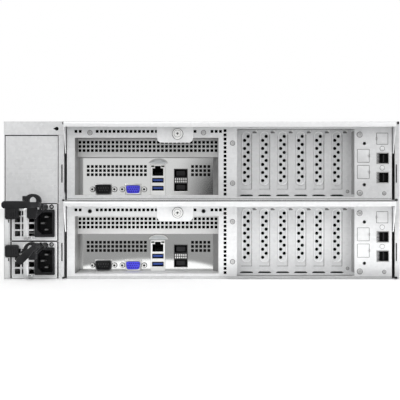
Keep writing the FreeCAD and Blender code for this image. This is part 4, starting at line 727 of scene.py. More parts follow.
def makePlug(key, low, plane):
    # A drawn D shell with a rolled rim round its insert, on a block behind the sheet, between two threaded posts.
    middle = (low[0] + portForm[key], low[2] + portForm["block"][1] / 2)
    tip = low[1]
    dark = key == "serial"
    profile = ((0.1, plane + 1.3), (0.1, plane - 0.2), (0.0, plane - 0.9), (-0.05, tip + 0.4), (-0.3, tip),
               (-0.75, tip + 0.2), (-0.85, tip + 4.6))
    border = softPolygon([(-9.2, -6.5), (9.2, -6.5), (10.3, 6.5), (-10.3, 6.5)], 1.4, 4)
    collar = [facing(border * scale, depth, middle)
              for scale, depth in ((1.0, plane + 0.1), (1.0, plane - 0.2), (0.98, plane - 0.35))]
    groups = [(pad(*portForm["block"], 0.8, plane + 1.2, plane + 12.0, middle, 0.3), "blackPlastic"),
              (loft(collar), "shieldSteel"),
              (loft([dShell(middle, *step) for step in profile]), "darkShell" if dark else "brightShell")]
    if dark:
        insert = ((-0.87, tip + 4.8), (-0.87, tip + 3.2), (-1.1, tip + 3.0))
        across = np.concatenate([np.arange(5) * 2.77 - 5.54, np.arange(4) * 2.77 - 4.155])
        up = np.repeat([1.5, -1.5], [5, 4])
        pin = turned([0.55, 0.55, 0.35, 0.1], [tip + 3.2, tip + 1.3, tip + 0.9, tip + 0.8], (0, 0), 8)
    else:
        insert = ((-1.3, tip + 4.8), (-1.3, tip + 0.7), (-1.6, tip + 0.3))
        across = np.tile(np.arange(5) * 2.5 - 5.0, 3) + np.repeat([0.6, -0.65, 0.6], 5)
        up = np.repeat([2.3, 0.0, -2.3], 5)
        pin = turned([0.75, 0.75, 0.1], [tip + 0.4, tip + 0.24, tip + 0.22], (0, 0), 10)
    groups.append((loft([dShell(middle, *step) for step in insert]), "blackPlastic" if dark else "violetInsert"))
    spots = np.column_stack([middle[0] + across, np.zeros(len(up)), middle[1] + up])
    # the display plug's pin holes are the darker violet: painted shade
    groups.append((copies(pin, spots), "darkPin" if dark else "violetPitShade"))
    for place in (-portForm["postSpread"], portForm["postSpread"]):
        spot = (middle[0] + place, middle[1])
        radius = portForm["postRadius"]
        groups.append((turned([radius, radius, radius - 0.2, 1.35, 1.3, 0.1],
                              [plane + 0.2, plane - 5.2, plane - 5.5, plane - 5.5, plane - 3.4, plane - 3.3],
                              spot, 24, [0.14, 0.14, 0.08, 0, 0, 0], 6), "brightShell"))
        # a near-black disc in the bore and a dark collar round the post's foot: painted shade
        groups.append((turned([1.28, 0.1], [plane - 4.8, plane - 4.75], spot, 12), "socketDark"))
        groups.append((turned([3.2, 3.2, 2.9, 0.1], [plane + 0.1, plane - 0.5, plane - 0.8, plane - 0.8], spot, 24),
                       "grooveShade"))
    return groups


def makeNetworkJack(middleX, base, face, plane):
    # A stacked housing: one front plate cut for a stepped jack over two flat sockets, each with its lining.
    width, height, depth = portForm["networkBox"]
    across = [-width / 2, -6.6, -6.2, -3.3, 3.3, 6.2, 6.6, width / 2]
    up = [0, 4.8, 10.2, 13.9, 19.3, 21.7, 30.3, 33.0, height]
    solid = np.ones((7, 8), bool)
    solid[1:6, [1, 3]] = False
    solid[2:5, 5] = False
    solid[3, 6] = False
    groups = [(pierced(across, up, solid, face, face + 1.6, (middleX, base)), "brightShell"),
              (boxSleeve(width - 0.1, height - 0.1, 0.3, face + 0.3, plane + depth, (middleX, base + height / 2)),
               "portShell")]
    mouth = softPolygon([(-6.2, 21.7), (6.2, 21.7), (6.2, 30.3), (3.3, 30.3), (3.3, 33.0), (-3.3, 33.0), (-3.3, 30.3),
                         (-6.2, 30.3)], 0.2, 3)
    lining = [facing(mouth, depth, (middleX, base)) for depth in (face + 0.25, face + 13.0)]
    groups.append((loft(lining, capFirst=False), "socketDark"))
    contact = sweep(roundedOutline(0.45, 0.25, 0.1, 2),
                    bentPath([(0, face + 4.0, -3.4), (0, face + 9.0, -0.6), (0, face + 12.5, -0.4)], 1.0), (1, 0, 0))
    spots = np.column_stack([middleX + (np.arange(8) - 3.5) * 1.02, np.zeros(8), np.full(8, base + 26.5)])
    groups.append((copies(contact, spots), "darkPin"))
    window = pad(3.6, 2.0, 0.3, face - 0.15, face + 0.6, (0, 0), 0.15)
    groups.append((copies(window, [(middleX - 5.7, 0, base + 32.5), (middleX + 5.7, 0, base + 32.5)]), "dullLens"))
    for low in (4.8, 13.9):
        middle = (middleX, base + low + 2.7)
        # each socket's lining is the darker blue: painted shade inside the mouth
        groups.append((boxSleeve(13.1, 5.3, 0.3, face + 0.2, face + 12.0, middle), "blueShade"))
        groups.append((pad(10.8, 1.9, 0.3, face + 0.5, face + 12.0, (middleX, base + low + 2.9), 0.4), "blueInsert"))
        leaf = pad(1.2, 0.3, 0.1, face + 1.2, face + 9.0, (0, 0), 0.1)
        spots = np.column_stack([middleX + np.array([-3.6, -1.2, 1.2, 3.6]), np.zeros(4),
                                 np.full(4, base + low + 1.7)])
        groups.append((copies(leaf, spots), "darkPin"))
        groups.append((frameRing(14.0, 6.2, 0.5, 0.45, face - 0.2, face + 0.5, middle), "brightShell"))
    return groups


def makeOpticalCage(middleX, base, face, plane):
    # A tall cage with two mouths, a belt of spring fingers between them and a bright rim below, on a foot block.
    width, height, depth = portForm["opticalBox"]
    solid = np.ones((3, 5), bool)
    solid[1, [1, 3]] = False
    across, up = [-width / 2, -7.0, 7.0, width / 2], [3.6, 4.3, 12.9, 20.3, 28.9, 29.6]
    groups = [(pierced(across, up, solid, face, face + 1.2, (middleX, base)), "darkShell"),
              (boxSleeve(width - 0.1, height - 0.1, 0.3, face + 0.3, plane + depth, (middleX, base + 16.6)),
               "portShell"),
              (pad(width, 3.5, 0.3, plane + 4.0, plane + depth, (middleX, base + 1.75), 0.3), "blackPlastic")]
    for up in (8.6, 24.6):
        # near-black sleeves line the two mouths: painted shade inside the cage
        groups.append((boxSleeve(13.9, 8.5, 0.3, face + 0.2, face + 38.0, (middleX, base + up)), "socketDark"))
        groups.append((pad(10.4, 5.6, 0.6, face + 1.6, face + 2.4, (middleX, base + up), 0.3), "blackPlastic"))
    finger = pad(1.5, 2.2, 0.5, face - 0.9, face - 0.1, (0, 0), 0.4)
    spots = [(middleX + (k - 2.5) * 2.35, 0, base + up) for up in (15.1, 17.9) for k in range(6)]
    groups.append((copies(finger, spots), "brightShell"))
    groups.append((pad(15.8, 1.0, 0.3, face - 0.6, face + 0.6, (middleX, base + 3.7), 0.3), "brightShell"))
    return groups


def makePorts(side):
    # The ports of one canister, side by side in the plane of the sheet.
    low, plane = portPlace(side)[:2]
    base, face = low[2], plane - 1.2
    groups = makePlug("serial", low, plane) + makePlug("display", low, plane)
    groups += makeNetworkJack(low[0] + portForm["network"], base, face, plane)
    groups += makeOpticalCage(low[0] + portForm["optical"], base, face, plane)
    putPiece(side + "_ports", side + "_canister", groups, [side + "_io_ports"])


def makeRecessTrim(side):
    # A pressed brow over the stacked jack: a low ridge along half an ellipse, and the field inside it.
    low, plane, left = portPlace(side)
    base = low[2]
    wide, tall = portForm["brow"]
    middle = (low[0] + portForm["network"] + portForm["browPlace"][0], base + portForm["browPlace"][1])
    turn = np.linspace(0.12, math.pi - 0.12, 32)
    inner = np.column_stack([wide * np.cos(turn), tall * np.sin(turn)])
    ridge = sweep(roundedOutline(0.9, 1.3, 0.4, 4), facing(inner, plane, middle), (0, 1, 0))
    steps = ((0.97, -0.2), (0.9, 0.12), (0.5, 0.2))
    field = loft([facing(inner * scale, plane - rise, middle) for scale, rise in steps])
    # the field inside the arc is the darker steel: painted shade
    putPiece(side + "_jackBrow", side + "_canister", [(ridge, "portShell"), (field, "browShadeSteel")])
    # a sloped cheek in the right corner of the recess: a wedge in X and Y carried up along Z, its dark finish painted
    # shade
    right = left + portForm["recessWidth"]
    reach, width, height = portForm["cheek"]
    wedge = np.array([(right + 0.2, plane - reach), (right + 0.2, plane + 0.2), (right - width, plane + 0.2),
                      (right - width + 0.2, plane - 0.2), (right - 0.3, plane - reach)])
    cheek = loft([np.column_stack([wedge, np.full(len(wedge), up)]) for up in (base - 0.5, base + height)])
    # a pale sill lies on the recess floor and rises a little towards the back; its paler, nearly matte copy of the
    # zinc is painted light on the upward face
    start = plane - portForm["sillDepth"]
    section = np.array([(start, base - 0.58), (plane - 0.1, base - 0.58), (plane - 0.1, base - 0.1),
                        (start, base - 0.4)])
    sill = loft([endways(section, across) for across in (left + 0.2, right - 0.1)])
    groups = [(cheek, "wallShadeSteel"), (sill, "paintedLitSill")]
    putPiece(side + "_shieldCheek", side + "_canister", groups, bevel=0.2)


def makeStorageDetails(side):
    # Storage connectors: a thin rim, a dark lining, the paddle inside and a strip of short ribs on the left.
    low, high = cornersOf(side + "_rear_panel")
    face, across = low[1] - 0.5, high[0] - portForm["storageInset"]
    groups = []
    for up in portForm["storageLevels"]:
        level = low[2] + up
        groups.append((frameRing(*portForm["storage"], 0.5, 0.5, face - 0.15, face + 1.5, (across, level)),
                       "portShell"))
        groups.append((pad(10.2, 10.2, 0.3, face + 3.2, face + 4.4, (across + 0.95, level), 0.3), "socketDark"))
        groups.append((pad(1.2, 8.2, 0.3, face + 0.8, face + 6.0, (across + 1.0, level), 0.3), "blackPlastic"))
        rib = pad(2.3, 0.7, 0.2, face - 0.35, face + 0.3, (across - 5.2, level), 0.2)
        groups.append((copies(rib, [(0, 0, 1.5 * (k - 3)) for k in range(7)]), "greyPlastic"))
    putPiece(side + "_storageDetails", side + "_canister", groups)


ventShadeForm = {"thick": 4.0, "gap": 1.6, "band": (0.5, 157.9, 49.2, 67.0), "bandReach": 11.0,
              "lowVents": ((5.5, 81.0, 24.5, 42.0), (127.0, 153.0, 24.5, 42.0)), "rowDepth": 2.2,
              "rows": ((-2.0, 94.0, 71.0, 83.0), (128.0, 175.0, 71.0, 83.0), (161.5, 175.0, 2.0, 70.0))}


def makeVentShades(side):
    # Matte black pads behind the perforations, painted shade seen through them: outlines with a soft edge, clear of
    # the ports and of the lid screw.
    plane, left = portPlace(side)[1:]
    rear, base = cornersOf(side + "_rear_panel")[0][1:]
    form = ventShadeForm
    places = [(form["band"], plane - form["bandReach"] + form["gap"])]
    places += [(span, plane + form["gap"]) for span in form["lowVents"]]
    places += [(span, rear + form["rowDepth"]) for span in form["rows"]]
    groups = []
    for (start, end, bottom, top), front in places:
        middle = (left + (start + end) / 2, base + (bottom + top) / 2)
        layer = pad(end - start, top - bottom, 1.0, front, front + form["thick"], middle, 0.8)
        groups.append((layer, "blackShade"))
    putPiece(side + "_ventShades", side + "_canister", groups)


lidForm = {"sheet": 1.0, "hem": 5.3, "skirt": 34.0, "foldRadius": 1.6, "tabWidth": 39.8, "tabHeight": 22.0,
           "tabCorner": 5.2, "tabMiddle": 121.0, "overhang": 15.0, "ribShares": (0.2, 0.4, 0.6, 0.8),
           "rib": (50.0, 7.0, 3.4)}


def makeLid(side):
    # A folded sheet: one bent strip in Y and Z carried along X, tapered skirts, and the screw tab.
    low, high = cornersOf(side + "_lid")
    form = lidForm
    sheet, top, grip = form["sheet"], high[2], low[1]
    strip = roundedOutline(high[0] - low[0], sheet, 0.3, 3)
    path = bentPath([(0, high[1], top - sheet / 2), (0, grip + sheet / 2, top - sheet / 2),
                     (0, grip + sheet / 2, top - form["hem"])], form["foldRadius"], 8)
    path[:, 0] = (low[0] + high[0]) / 2
    groups = [(sweep(strip, path, (1, 0, 0)), "lidSteel")]
    # hem folded back inside the grip edge
    hem = bentPath([(0, grip + sheet / 2, top - form["hem"] + 0.4), (0, grip + sheet, top - form["hem"] - 0.1),
                    (0, grip + 2.0, top - form["hem"] + 0.5), (0, grip + 2.0, top - 2.0)], 0.4, 4)
    hem[:, 0] = (low[0] + high[0]) / 2
    groups.append((sweep(roundedOutline(high[0] - low[0] - 8, 0.8, 0.2, 3), hem, (1, 0, 0)), "lidSteel"))
    rear = grip + form["overhang"]
    skirt = np.array([(grip + 0.5, top - 0.6), (grip + 0.5, top - form["hem"]), (rear, top - form["skirt"]),
                      (high[1], top - form["skirt"]), (high[1], top - 0.6)])
    outline = softPolygon(skirt, 0.5, 4)
    for place, inward in ((low[0], 1), (high[0], -1)):
        groups.append((loft([endways(outline, place), endways(outline, place + inward * sheet)]), "lidSteel"))
    tabX = low[0] + form["tabMiddle"]
    half, drop, corner = form["tabWidth"] / 2, form["tabHeight"], form["tabCorner"]
    turn = np.linspace(0, math.pi / 2, 7)
    rightArc = np.column_stack([half - corner + corner * np.sin(turn), -drop + corner - corner * np.cos(turn)])
    leftArc = rightArc[::-1] * (-1, 1)
    tab = np.concatenate([leftArc, rightArc, [(half, -0.6), (-half, -0.6)]])
    shrink = tab * (1 - 0.25 / half) + (0, -0.06)
    groups.append((loft([facing(tab, rear - 0.05, (tabX, top)), facing(tab, rear - sheet + 0.25, (tabX, top)),
                         facing(shrink, rear - sheet, (tabX, top))]), "lidSteel"))
    # pressed ribs across the top, each in a shade line
    shorter, width, corner = form["rib"]
    length = high[0] - low[0] - shorter
    for share in form["ribShares"]:
        middle = ((low[0] + high[0]) / 2, grip + share * (high[1] - grip))
        groups.append((upFace(pad(length, width, corner, -0.16, 0.2, middle, 0.14), top), "lidSteel"))
        groups.append((upFace(frameRing(length + 1, width + 1, corner + 0.5, 0.5, -0.04, 0.2, middle), top),
                       "grooveShade"))
    putPiece(side + "_lidSheet", side + "_lid", groups, [side + "_lid"])


thumbForm = {"collar": 5.6, "grip": 5.1, "seat": 9.0, "teeth": 28, "knurl": 0.14}


def makeThumbscrew(side):
    # A knurled head with a collar, a ring groove and a cross socket, on a plain shank with a rounded nose.
    low, high = cornersOf(side + "_thumbscrew")
    middle = ((low[0] + high[0]) / 2, (low[2] + high[2]) / 2)
    form = thumbForm
    front, back, seat = low[1], high[1], low[1] + form["seat"]
    collar, grip = form["collar"], form["grip"]
    profile = np.array([(0.2, back), (1.5, back - 0.4), (2.0, back - 1.4), (2.0, seat), (5.0, seat),
                        (collar, seat - 0.4), (collar, seat - 1.6), (grip, seat - 2.0), (grip, seat - 5.0),
                        (grip, front + 0.7), (4.6, front), (4.1, front), (3.7, front + 0.5), (3.4, front),
                        (2.2, front), (1.6, front + 1.2), (0.1, front + 1.3)])
    ripple = np.where(profile[:, 0] == grip, form["knurl"], 0.0)
    groups = [(turned(*profile.T, middle, 84, ripple, form["teeth"]), "brightShell")]
    # the two dark rings, in the face's groove and round the collar on the tab, are painted shade
    for radii, depths in (([4.05, 3.75, 3.6, 3.75], front + np.array([0.2, 0.16, 0.3, 0.5])),
                          ([6.2, 6.2, 6.0, 5.3], seat - np.array([0, 0.15, 0.25, 0.25]))):
        groups.append((turned(radii, depths, middle, 48, wrap=True), "grooveShade"))
    # the dark bars of the cross socket are painted shade of the recess
    for width, height in ((2.6, 0.7), (0.7, 2.6)):
        groups.append((pad(width, height, 0.2, front + 0.85, front + 1.4, middle, 0.1), "socketDark"))
    putPiece(side + "_thumbKnob", side + "_thumbscrew", groups, [side + "_thumbscrew"])


for side in sides:
    makeSlotCovers(side)
    makePanelFittings(side)
    makePorts(side)
    makeRecessTrim(side)
    makeStorageDetails(side)
    makeVentShades(side)
    makeLid(side)
    makeThumbscrew(side)
print("canister pieces made")


# Power supply pieces. Places are from the lower left rear corner of a housing.
supplyForm = {"handleOffset": 19.5, "handleWidth": 5.0, "handleBar": 3.0, "handleReach": 24.0, "latchLeft": -6.0,
              "latchWidth": 14.4, "latchHeight": 13.5, "latchDrop": 3.0, "latchReach": 9.0,
              "inlet": (25.1, 3.7, 22.4, 30.4), "recess": (-8.2, 8.4, 12.2), "cutCorner": 5.0, "light": (44.0, 37.2),
              "faceScrew": (22.6, 3.4), "handleFoot": (7.4, 2.9), "stem": (5.0, 6.5)}


def makeHandle(side):
    # A bar with rounded edges carried along a U, and a foot plate at either end.
    low, high = cornersOf(side + "_psu_housing")
    form = supplyForm
    half = form["handleBar"] / 2
    bow = low[1] - form["handleReach"] + half
    bottom, top = low[2] + 1 + half, high[2] - 1 - half
    path = bentPath([(0, low[1], bottom), (0, bow, bottom), (0, bow, top), (0, low[1], top)], 4.2, 10)
    path[:, 0] = low[0] + form["handleOffset"]
    groups = [(sweep(roundedOutline(form["handleWidth"], form["handleBar"], 1.4, 6), path, (1, 0, 0)), "handleSteel")]
    for up in (bottom, top):
        foot = pad(*form["handleFoot"], 0.8, low[1] - 1.0, low[1] + 0.2, (low[0] + form["handleOffset"], up), 0.4)
        groups.append((foot, "handleSteel"))
    putPiece(side + "_pullHandle", side + "_psu", groups, [side + "_handle"])


def makeLatch(side):
    # A thumb tab with a dished front, ridges across it, and a stem into the face.
    low, high = cornersOf(side + "_psu_housing")
    form = supplyForm
    left, bottom = low[0] + form["latchLeft"], high[2] - form["latchDrop"] - form["latchHeight"]
    middle = (left + form["latchWidth"] / 2, bottom + form["latchHeight"] / 2)
    front = low[1] - form["latchReach"]
    width, height = form["latchWidth"], form["latchHeight"]
    profile = ((0.2, low[1] - 0.2), (0, low[1] - 0.8), (0, front + 1.0), (0.35, front + 0.3), (1.0, front),
               (1.9, front), (2.4, front + 0.5))
    tab = loft([facing(roundedOutline(width - 2 * inset, height - 2 * inset, 2.4 - 0.5 * inset, 6), depth, middle)
                for inset, depth in profile])
    ridge = pad(0.9, height - 5.6, 0.4, front, front + 1.0, (0, 0), 0.35)
    ridges = copies(ridge, [(middle[0] + 2.0 * (k - 2), 0, middle[1]) for k in range(5)])
    across, up = form["stem"]
    stem = pad(4.0, 5.0, 0.4, low[1] - 2.0, low[1] + 10.0, (low[0] + across, bottom + up), 0.2)
    groups = [(shape, "blackPlastic") for shape in (tab, ridges, stem)]
    putPiece(side + "_latchTab", side + "_latch", groups, [side + "_latch"])


def makeInlet(side):
    # A rimmed socket: outlines stepping from the rim into the recess, which has two cut corners, and three blades.
    low = cornersOf(side + "_psu_housing")[0]
    left, foot, width, height = supplyForm["inlet"]
    middle = (low[0] + left + width / 2, low[2] + foot + height / 2)
    face = low[1]

    def rim(inset, depth):
        # a rectangle with two corners more, one in the middle of either side
        across, up = width / 2 - inset, height / 2 - inset
        corners = [(-across, -up), (across, -up), (across, 0), (across, up), (-across, up), (-across, 0)]
        return facing(softPolygon(corners, 1.4, 5), depth, middle)

    def recess(inset, depth):
        # a rectangle with two cut corners, which starts where the rim does
        start, end, reach = supplyForm["recess"]
        start, end, reach, cut = start + inset, end - inset, reach - inset, supplyForm["cutCorner"]
        corners = [(start, cut - reach), (start + cut, -reach), (end, -reach), (end, reach), (start + cut, reach),
                   (start, reach - cut)]
        return facing(softPolygon(corners, 1.0, 5), depth, middle)

    body = loft([rim(1.6, face + 20.0), rim(1.6, face), rim(0, face), rim(0, face - 1.1), rim(0.4, face - 1.5)],
                capLast=False)
    # the front ring joins the rim to the recess, whose outlines have as many corners
    front = loft([rim(0.4, face - 1.5), recess(-0.3, face - 1.5), recess(0, face - 1.2), recess(0, face + 17.0)],
                 capFirst=False)
    groups = [(body, "blackPlastic"), (front, "blackPlastic")]
    flat = loft([facing(roundedOutline(across, thick, 0.3, 3), depth)
                 for across, thick, depth in ((4.0, 2.0, face + 17.0), (4.0, 2.0, face + 3.0),
                                              (3.2, 1.2, face + 2.2))])
    spots = [(middle[0] + across, 0, middle[1] + up) for across, up in ((-3.0, 0), (1.4, 7.0), (1.4, -7.0))]
    groups.append((copies(flat, spots), "grooveShade"))
    putPiece(side + "_inletSocket", side + "_psu", groups, [side + "_inlet"])


def makeSupplyFace(side):
    # Status light turned in a bezel, the face's raised border and its fixing screw.
    low, high = cornersOf(side + "_psu_housing")
    face = low[1]
    size = high - low
    middle = ((low[0] + high[0]) / 2, (low[2] + high[2]) / 2)
    light, screw = [(low[0] + across, low[2] + up) for across, up in (supplyForm["light"], supplyForm["faceScrew"])]
    bezel = turned([2.5, 2.5, 2.2, 1.6, 1.5, 1.5], face - np.array([-0.2, 0.5, 0.8, 0.8, 0.3, -0.2]), light, 24,
                   wrap=True)
    lens = turned([1.5, 1.5, 1.2, 0.7, 0.1], face - np.array([-0.2, 0.3, 0.7, 0.95, 1.0]), light, 16)
    border = frameRing(size[0], size[2], 2.4, 1.4, face - 0.4, face + 0.2, middle)
    groups = [(bezel, "blackPlastic"), (lens, "greyPlastic"), (border, "lidSteel"),
              (screwHead(1.7, 0.9, face, screw), "screwZinc")]
    # the cover's seam and four flush screws on the body behind the face
    span = (size[0] - 7.0, size[1] - 60.0)
    heart = (middle[0], (low[1] + high[1]) / 2)
    groups.append((upFace(frameRing(*span, 2.0, 0.5, -0.05, 0.3, heart), high[2]), "grooveShade"))
    flush = turned([2.6, 2.6, 2.3, 1.1, 1.0, 0.1], [0.3, -0.1, -0.18, -0.1, 0.3, 0.35], (0, 0), 20)
    out = (span[0] / 2 - 4, span[1] / 2 - 5)
    spots = [(heart[0] + x * out[0], 0, heart[1] + y * out[1]) for x in (-1, 1) for y in (-1, 1)]
    groups.append((upFace(copies(flush, spots), high[2]), "screwZinc"))
    putPiece(side + "_supplyFace", side + "_psu", groups)


cordForm = {"offset": 38.1, "drop": 3.0, "width": 5.8, "thick": 1.6, "run": 46.0, "bend": 14.0, "foot": (3.6, 4.0),
            "rise": 2.6, "paddle": 0.36, "tipLength": 3.6, "teeth": 22, "toothPitch": 1.8,
            "tail": {"lower": 12.0, "upper": 23.0}, "lean": {"lower": -45.0, "upper": 0.0},
            "stand": 26.5, "ringLength": 8.0, "ringInner": (4.0, 4.0),
            "lower": {"outer": (7.7, 6.8), "across": 10.6, "rise": 6.2, "apron": (-9.6, -8.9, 8.6, 11.5)},
            "upper": {"outer": (8.9, 7.3), "across": 9.4, "rise": 6.9, "apron": (-10.2, -6.0, 10.4, 13.2)}}


def makeCordHolder(side):
    # A band carried along a straight, a quarter bend and a tail, and a clamp lofted from ovals, both leaned about Y.
    low, high = cornersOf(side + "_psu_housing")
    form = cordForm
    rear = low[1]
    lean = math.radians(form["lean"][side])
    place = np.array([low[0] + form["offset"], 0, high[2] - form["drop"]])
    turn = np.array([[math.cos(lean), 0, math.sin(lean)], [0, 1, 0], [-math.sin(lean), 0, math.cos(lean)]])
    leaned = lambda shape: (shape[0] @ turn.T + place, shape[1])
    far = rear - form["run"]
    arc = np.linspace(0, math.pi / 2, 12)
    bend = np.column_stack([form["bend"] * (np.cos(arc) - 1), far - form["bend"] * np.sin(arc), np.zeros(12)])
    straight = np.column_stack([np.zeros(6), np.linspace(rear + 2.0, far + 0.5, 6), np.zeros(6)])
    out = np.linspace(2, form["tail"][side], 16)
    tail = np.column_stack([-form["bend"] - out, np.full(16, far - form["bend"]), np.zeros(16)])
    path = np.concatenate([straight, bend, tail])
    climb = np.clip((rear - 18.0 - path[:, 1]) / 34.0, 0, 1)
    path[:, 2] = form["rise"] * climb * climb * (3 - 2 * climb)
    band = sweep(roundedOutline(form["width"], form["thick"], 0.5, 4), path, (0, 0, 1))
    # past the bend the strap widens to a paddle with a round tip
    points = band[0]
    beyond = np.clip((-points[:, 0] - 6.0) / 8.0, 0, 1)
    toTip = np.clip((points[:, 0] + form["bend"] + form["tail"][side]) / form["tipLength"], 0, 1)
    spread = (1 + form["paddle"] * beyond) * (0.4 + 0.6 * np.sqrt(1 - (1 - toTip) ** 2))
    points[:, 2] = form["rise"] + (points[:, 2] - form["rise"]) * spread
    tooth = loft([facing(roundedOutline(0.9, 3.2, 0.2, 3), depth) for depth in (0.45, -0.45)])
    spots = [(0.55, rear - 5.0 - k * form["toothPitch"], 0) for k in range(form["teeth"])]
    foot = pad(*form["foot"], 0.5, rear - 1.6, rear + 4.0, (0, 0), 0.4)
    groups = [(leaned(shape), "nylonBlack") for shape in (band, copies(tooth, spots), foot)]
    putPiece(side + "_cordTie", side + "_psu", groups, [side + "_cord_strap"])
    near = rear - form["stand"]
    back = near - form["ringLength"]
    ring = form[side]
    ringSpot = (-ring["across"], ring["rise"])
    angle = np.linspace(0, fullTurn, 40, endpoint=False)
    circle = np.column_stack([np.cos(angle), np.sin(angle)])
    outer, inner = ring["outer"], form["ringInner"]
    profile = ((outer, -0.4, near), (outer, 0, near - 0.4), (outer, 0, back + 0.4), (outer, -0.4, back),
               (inner, 0.4, back), (inner, 0, back + 0.4), (inner, 0, near - 0.4), (inner, 0.4, near))
    loop = loft([facing(circle * np.add(size, ease), depth, ringSpot) for size, ease, depth in profile], wrap=True)
    block = frameRing(4.0, 7.4, 0.6, 0.75, back, near, (0, 0))
    neck = pad(10.0, 2.4, 0.4, back + 0.2, near - 0.2, (-6.0, ring["rise"] - outer[1] + 1.35), 0.4)
    edge, tabRise = -ring["across"] - outer[0], ring["rise"] + 2.4
    latchTab = pad(5.6, 5.4, 0.7, back + 0.3, near - 0.3, (edge + 0.9, tabRise), 0.5)
    tabRidge = pad(0.6, 4.4, 0.2, back - 0.1, near, (0, 0), 0.2)
    ridges = copies(tabRidge, [(edge - 0.6 + 1.5 * k, 0, tabRise) for k in range(3)])
    groups = [(leaned(shape), "nylonBlack") for shape in (loop, block, neck, latchTab, ridges)]
    # the clamp's release lobe hangs straight down below the strap
    across, up, width, height = ring["apron"]
    apron = pad(width, height, 2.4, back + 0.5, near - 0.5, (place[0] + across, place[2] + up), 0.9, 6)
    groups.append((apron, "nylonBlack"))
    putPiece(side + "_cordClamp", side + "_clamp", groups, [side + "_cord_clamp"])


trimForm = {"lipDrop": 14.8, "lipEnd": 66.65, "lipShadowHeight": 1.1, "lipHole": (-159.5, 166.0), "lipHoleRadius": 1.75,
            "lipHoleSteps": ((0.35, 0.3), (0.35, -0.05), (0.1, -0.12), (-0.1, -0.02)),
            "blankMarks": ((-162.0, 147.8), (-161.7, 103.3)), "blankMarkRadius": 1.7,
            "blankMarkSteps": ((0.4, 0.3), (0.3, -0.05), (0.0, -0.15), (-0.7, 0.1)),
            "supplySeams": ((41.45, 42.75), (83.0, 84.1), (0.95, 1.35)),
            "uprightSlots": ((-153.9, "power_cage"), (214.5, "chassis_shell")), "slotLevels": (30.2, 116.7),
            "springStrips": ((52.4, 27.0), (12.6, 21.6)),
            "cornerShades": ((-152.3, 172.2, 2.0, 3.0), (216.4, 172.4, 2.2, 3.0), (214.4, 87.6, 2.8, 2.4),
                        (214.0, 1.9, 2.8, 2.4), (-152.3, 87.3, 2.4, 2.0), (-152.3, 1.8, 2.4, 2.0))}


def teardrop(radius, steps, face, middle):
    # Circles whose left side is drawn out to a point, each grown and set in front of the face by its step.
    turn = np.linspace(0, fullTurn, 32, endpoint=False)
    left = np.clip(-np.cos(turn), 0, 1)
    outline = np.column_stack([np.cos(turn) * (1 + 0.75 * left ** 4), np.sin(turn) * (1 - 0.45 * left ** 2)])
    return loft([facing(outline * (radius + grow), face + depth, middle) for grow, depth in steps])


def makeRearTrim():
    # Black strips in the seams between the modules, painted shade, and the keyholes of the lip and the blank panel.
    form = trimForm
    cover, blank = cornersOf("top_cover"), cornersOf("blank_panel")
    face, panelFace = cover[0][1], blank[0][1]
    bottom = cover[1][2] - form["lipDrop"]
    left, right = blank[0][0], blank[1][0]
    # a black strip under the lip: painted shadow of the lip on the blank panel
    spot = ((left + right) / 2, bottom - form["lipShadowHeight"] / 2)
    lipShadow = pad(right - left, form["lipShadowHeight"], 0.3, panelFace - 0.5, panelFace + 0.3, spot, 0.2)
    groups = [(lipShadow, "blackPlastic")]
    # the lip's keyhole is a near-black teardrop: painted shade of the hole
    groups.append((teardrop(form["lipHoleRadius"], form["lipHoleSteps"], face, form["lipHole"]), "socketDark"))
    for spot in form["blankMarks"]:
        groups.append((teardrop(form["blankMarkRadius"], form["blankMarkSteps"], panelFace, spot), "zincSteel"))
    low, high = cornersOf("lower_psu_housing")
    # black strips in the seams round the lower supply: painted shade
    for start, end in form["supplySeams"]:
        spot = ((low[0] + high[0]) / 2, (start + end) / 2)
        seam = pad(high[0] - low[0], end - start, 0.15, low[1] + 0.12, low[1] + 0.9, spot, 0.1)
        groups.append((seam, "blackPlastic"))
    # dark strip where the lip ends beside the upper lid: painted shade of the corner notch
    spot = (cover[0][0] + form["lipEnd"], bottom + form["lipDrop"] / 2)
    groups.append((pad(0.9, form["lipDrop"] - 1.2, 0.3, face - 0.1, face + 1.0, spot, 0.2), "blackPlastic"))
    # black strip below the shelf's edge, along the top of the lower lid: painted shade of the gap
    low, high = cornersOf("canister_shelf")
    spot = ((low[0] + high[0]) / 2, low[2] + 0.2)
    strip = pad(high[0] - low[0] - 2, 0.5, 0.2, low[1] - 0.35, low[1] + 0.2, spot, 0.1)
    groups.append((strip, "blackPlastic"))
    # bright spring strips down the left flange, each with a dark relief notch at its head, painted shade of the slot
    flange = cornersOf("chassis_shell")[0]
    for up, height in form["springStrips"]:
        spring = pad(4.6, height, 0.5, flange[1] - 0.35, flange[1] + 0.2, (flange[0] + 3.2, up), 0.25)
        spot = (flange[0] + 5.1, up + height / 2 - 1.6)
        notch = pad(0.9, 3.2, 0.3, flange[1] - 0.4, flange[1] + 0.2, spot, 0.05)
        groups += [(spring, "dishWall"), (notch, "socketDark")]
    # black pads at the corners of the two bays: painted shade of the corner notches
    for across, up, width, height in form["cornerShades"]:
        groups.append((pad(width, height, 0.5, face - 0.45, face + 0.6, (across, up), 0.35), "blackPlastic"))
    # dark blinds behind the upright slots beside the canisters: painted shade seen through the slots
    for across, carrier in form["uprightSlots"]:
        depth = cornersOf(carrier)[0][1] + 1.15
        for up in form["slotLevels"]:
            groups.append((pad(2.4, 21.6, 0.3, depth, depth + 2.0, (across, up), 0.2), "blackShade"))
    putPiece("rearTrim", "chassis", groups)


makeRearTrim()
for side in sides:
    makeHandle(side)
    makeLatch(side)
    makeInlet(side)
    makeSupplyFace(side)
    makeCordHolder(side)
print("power supply pieces made")


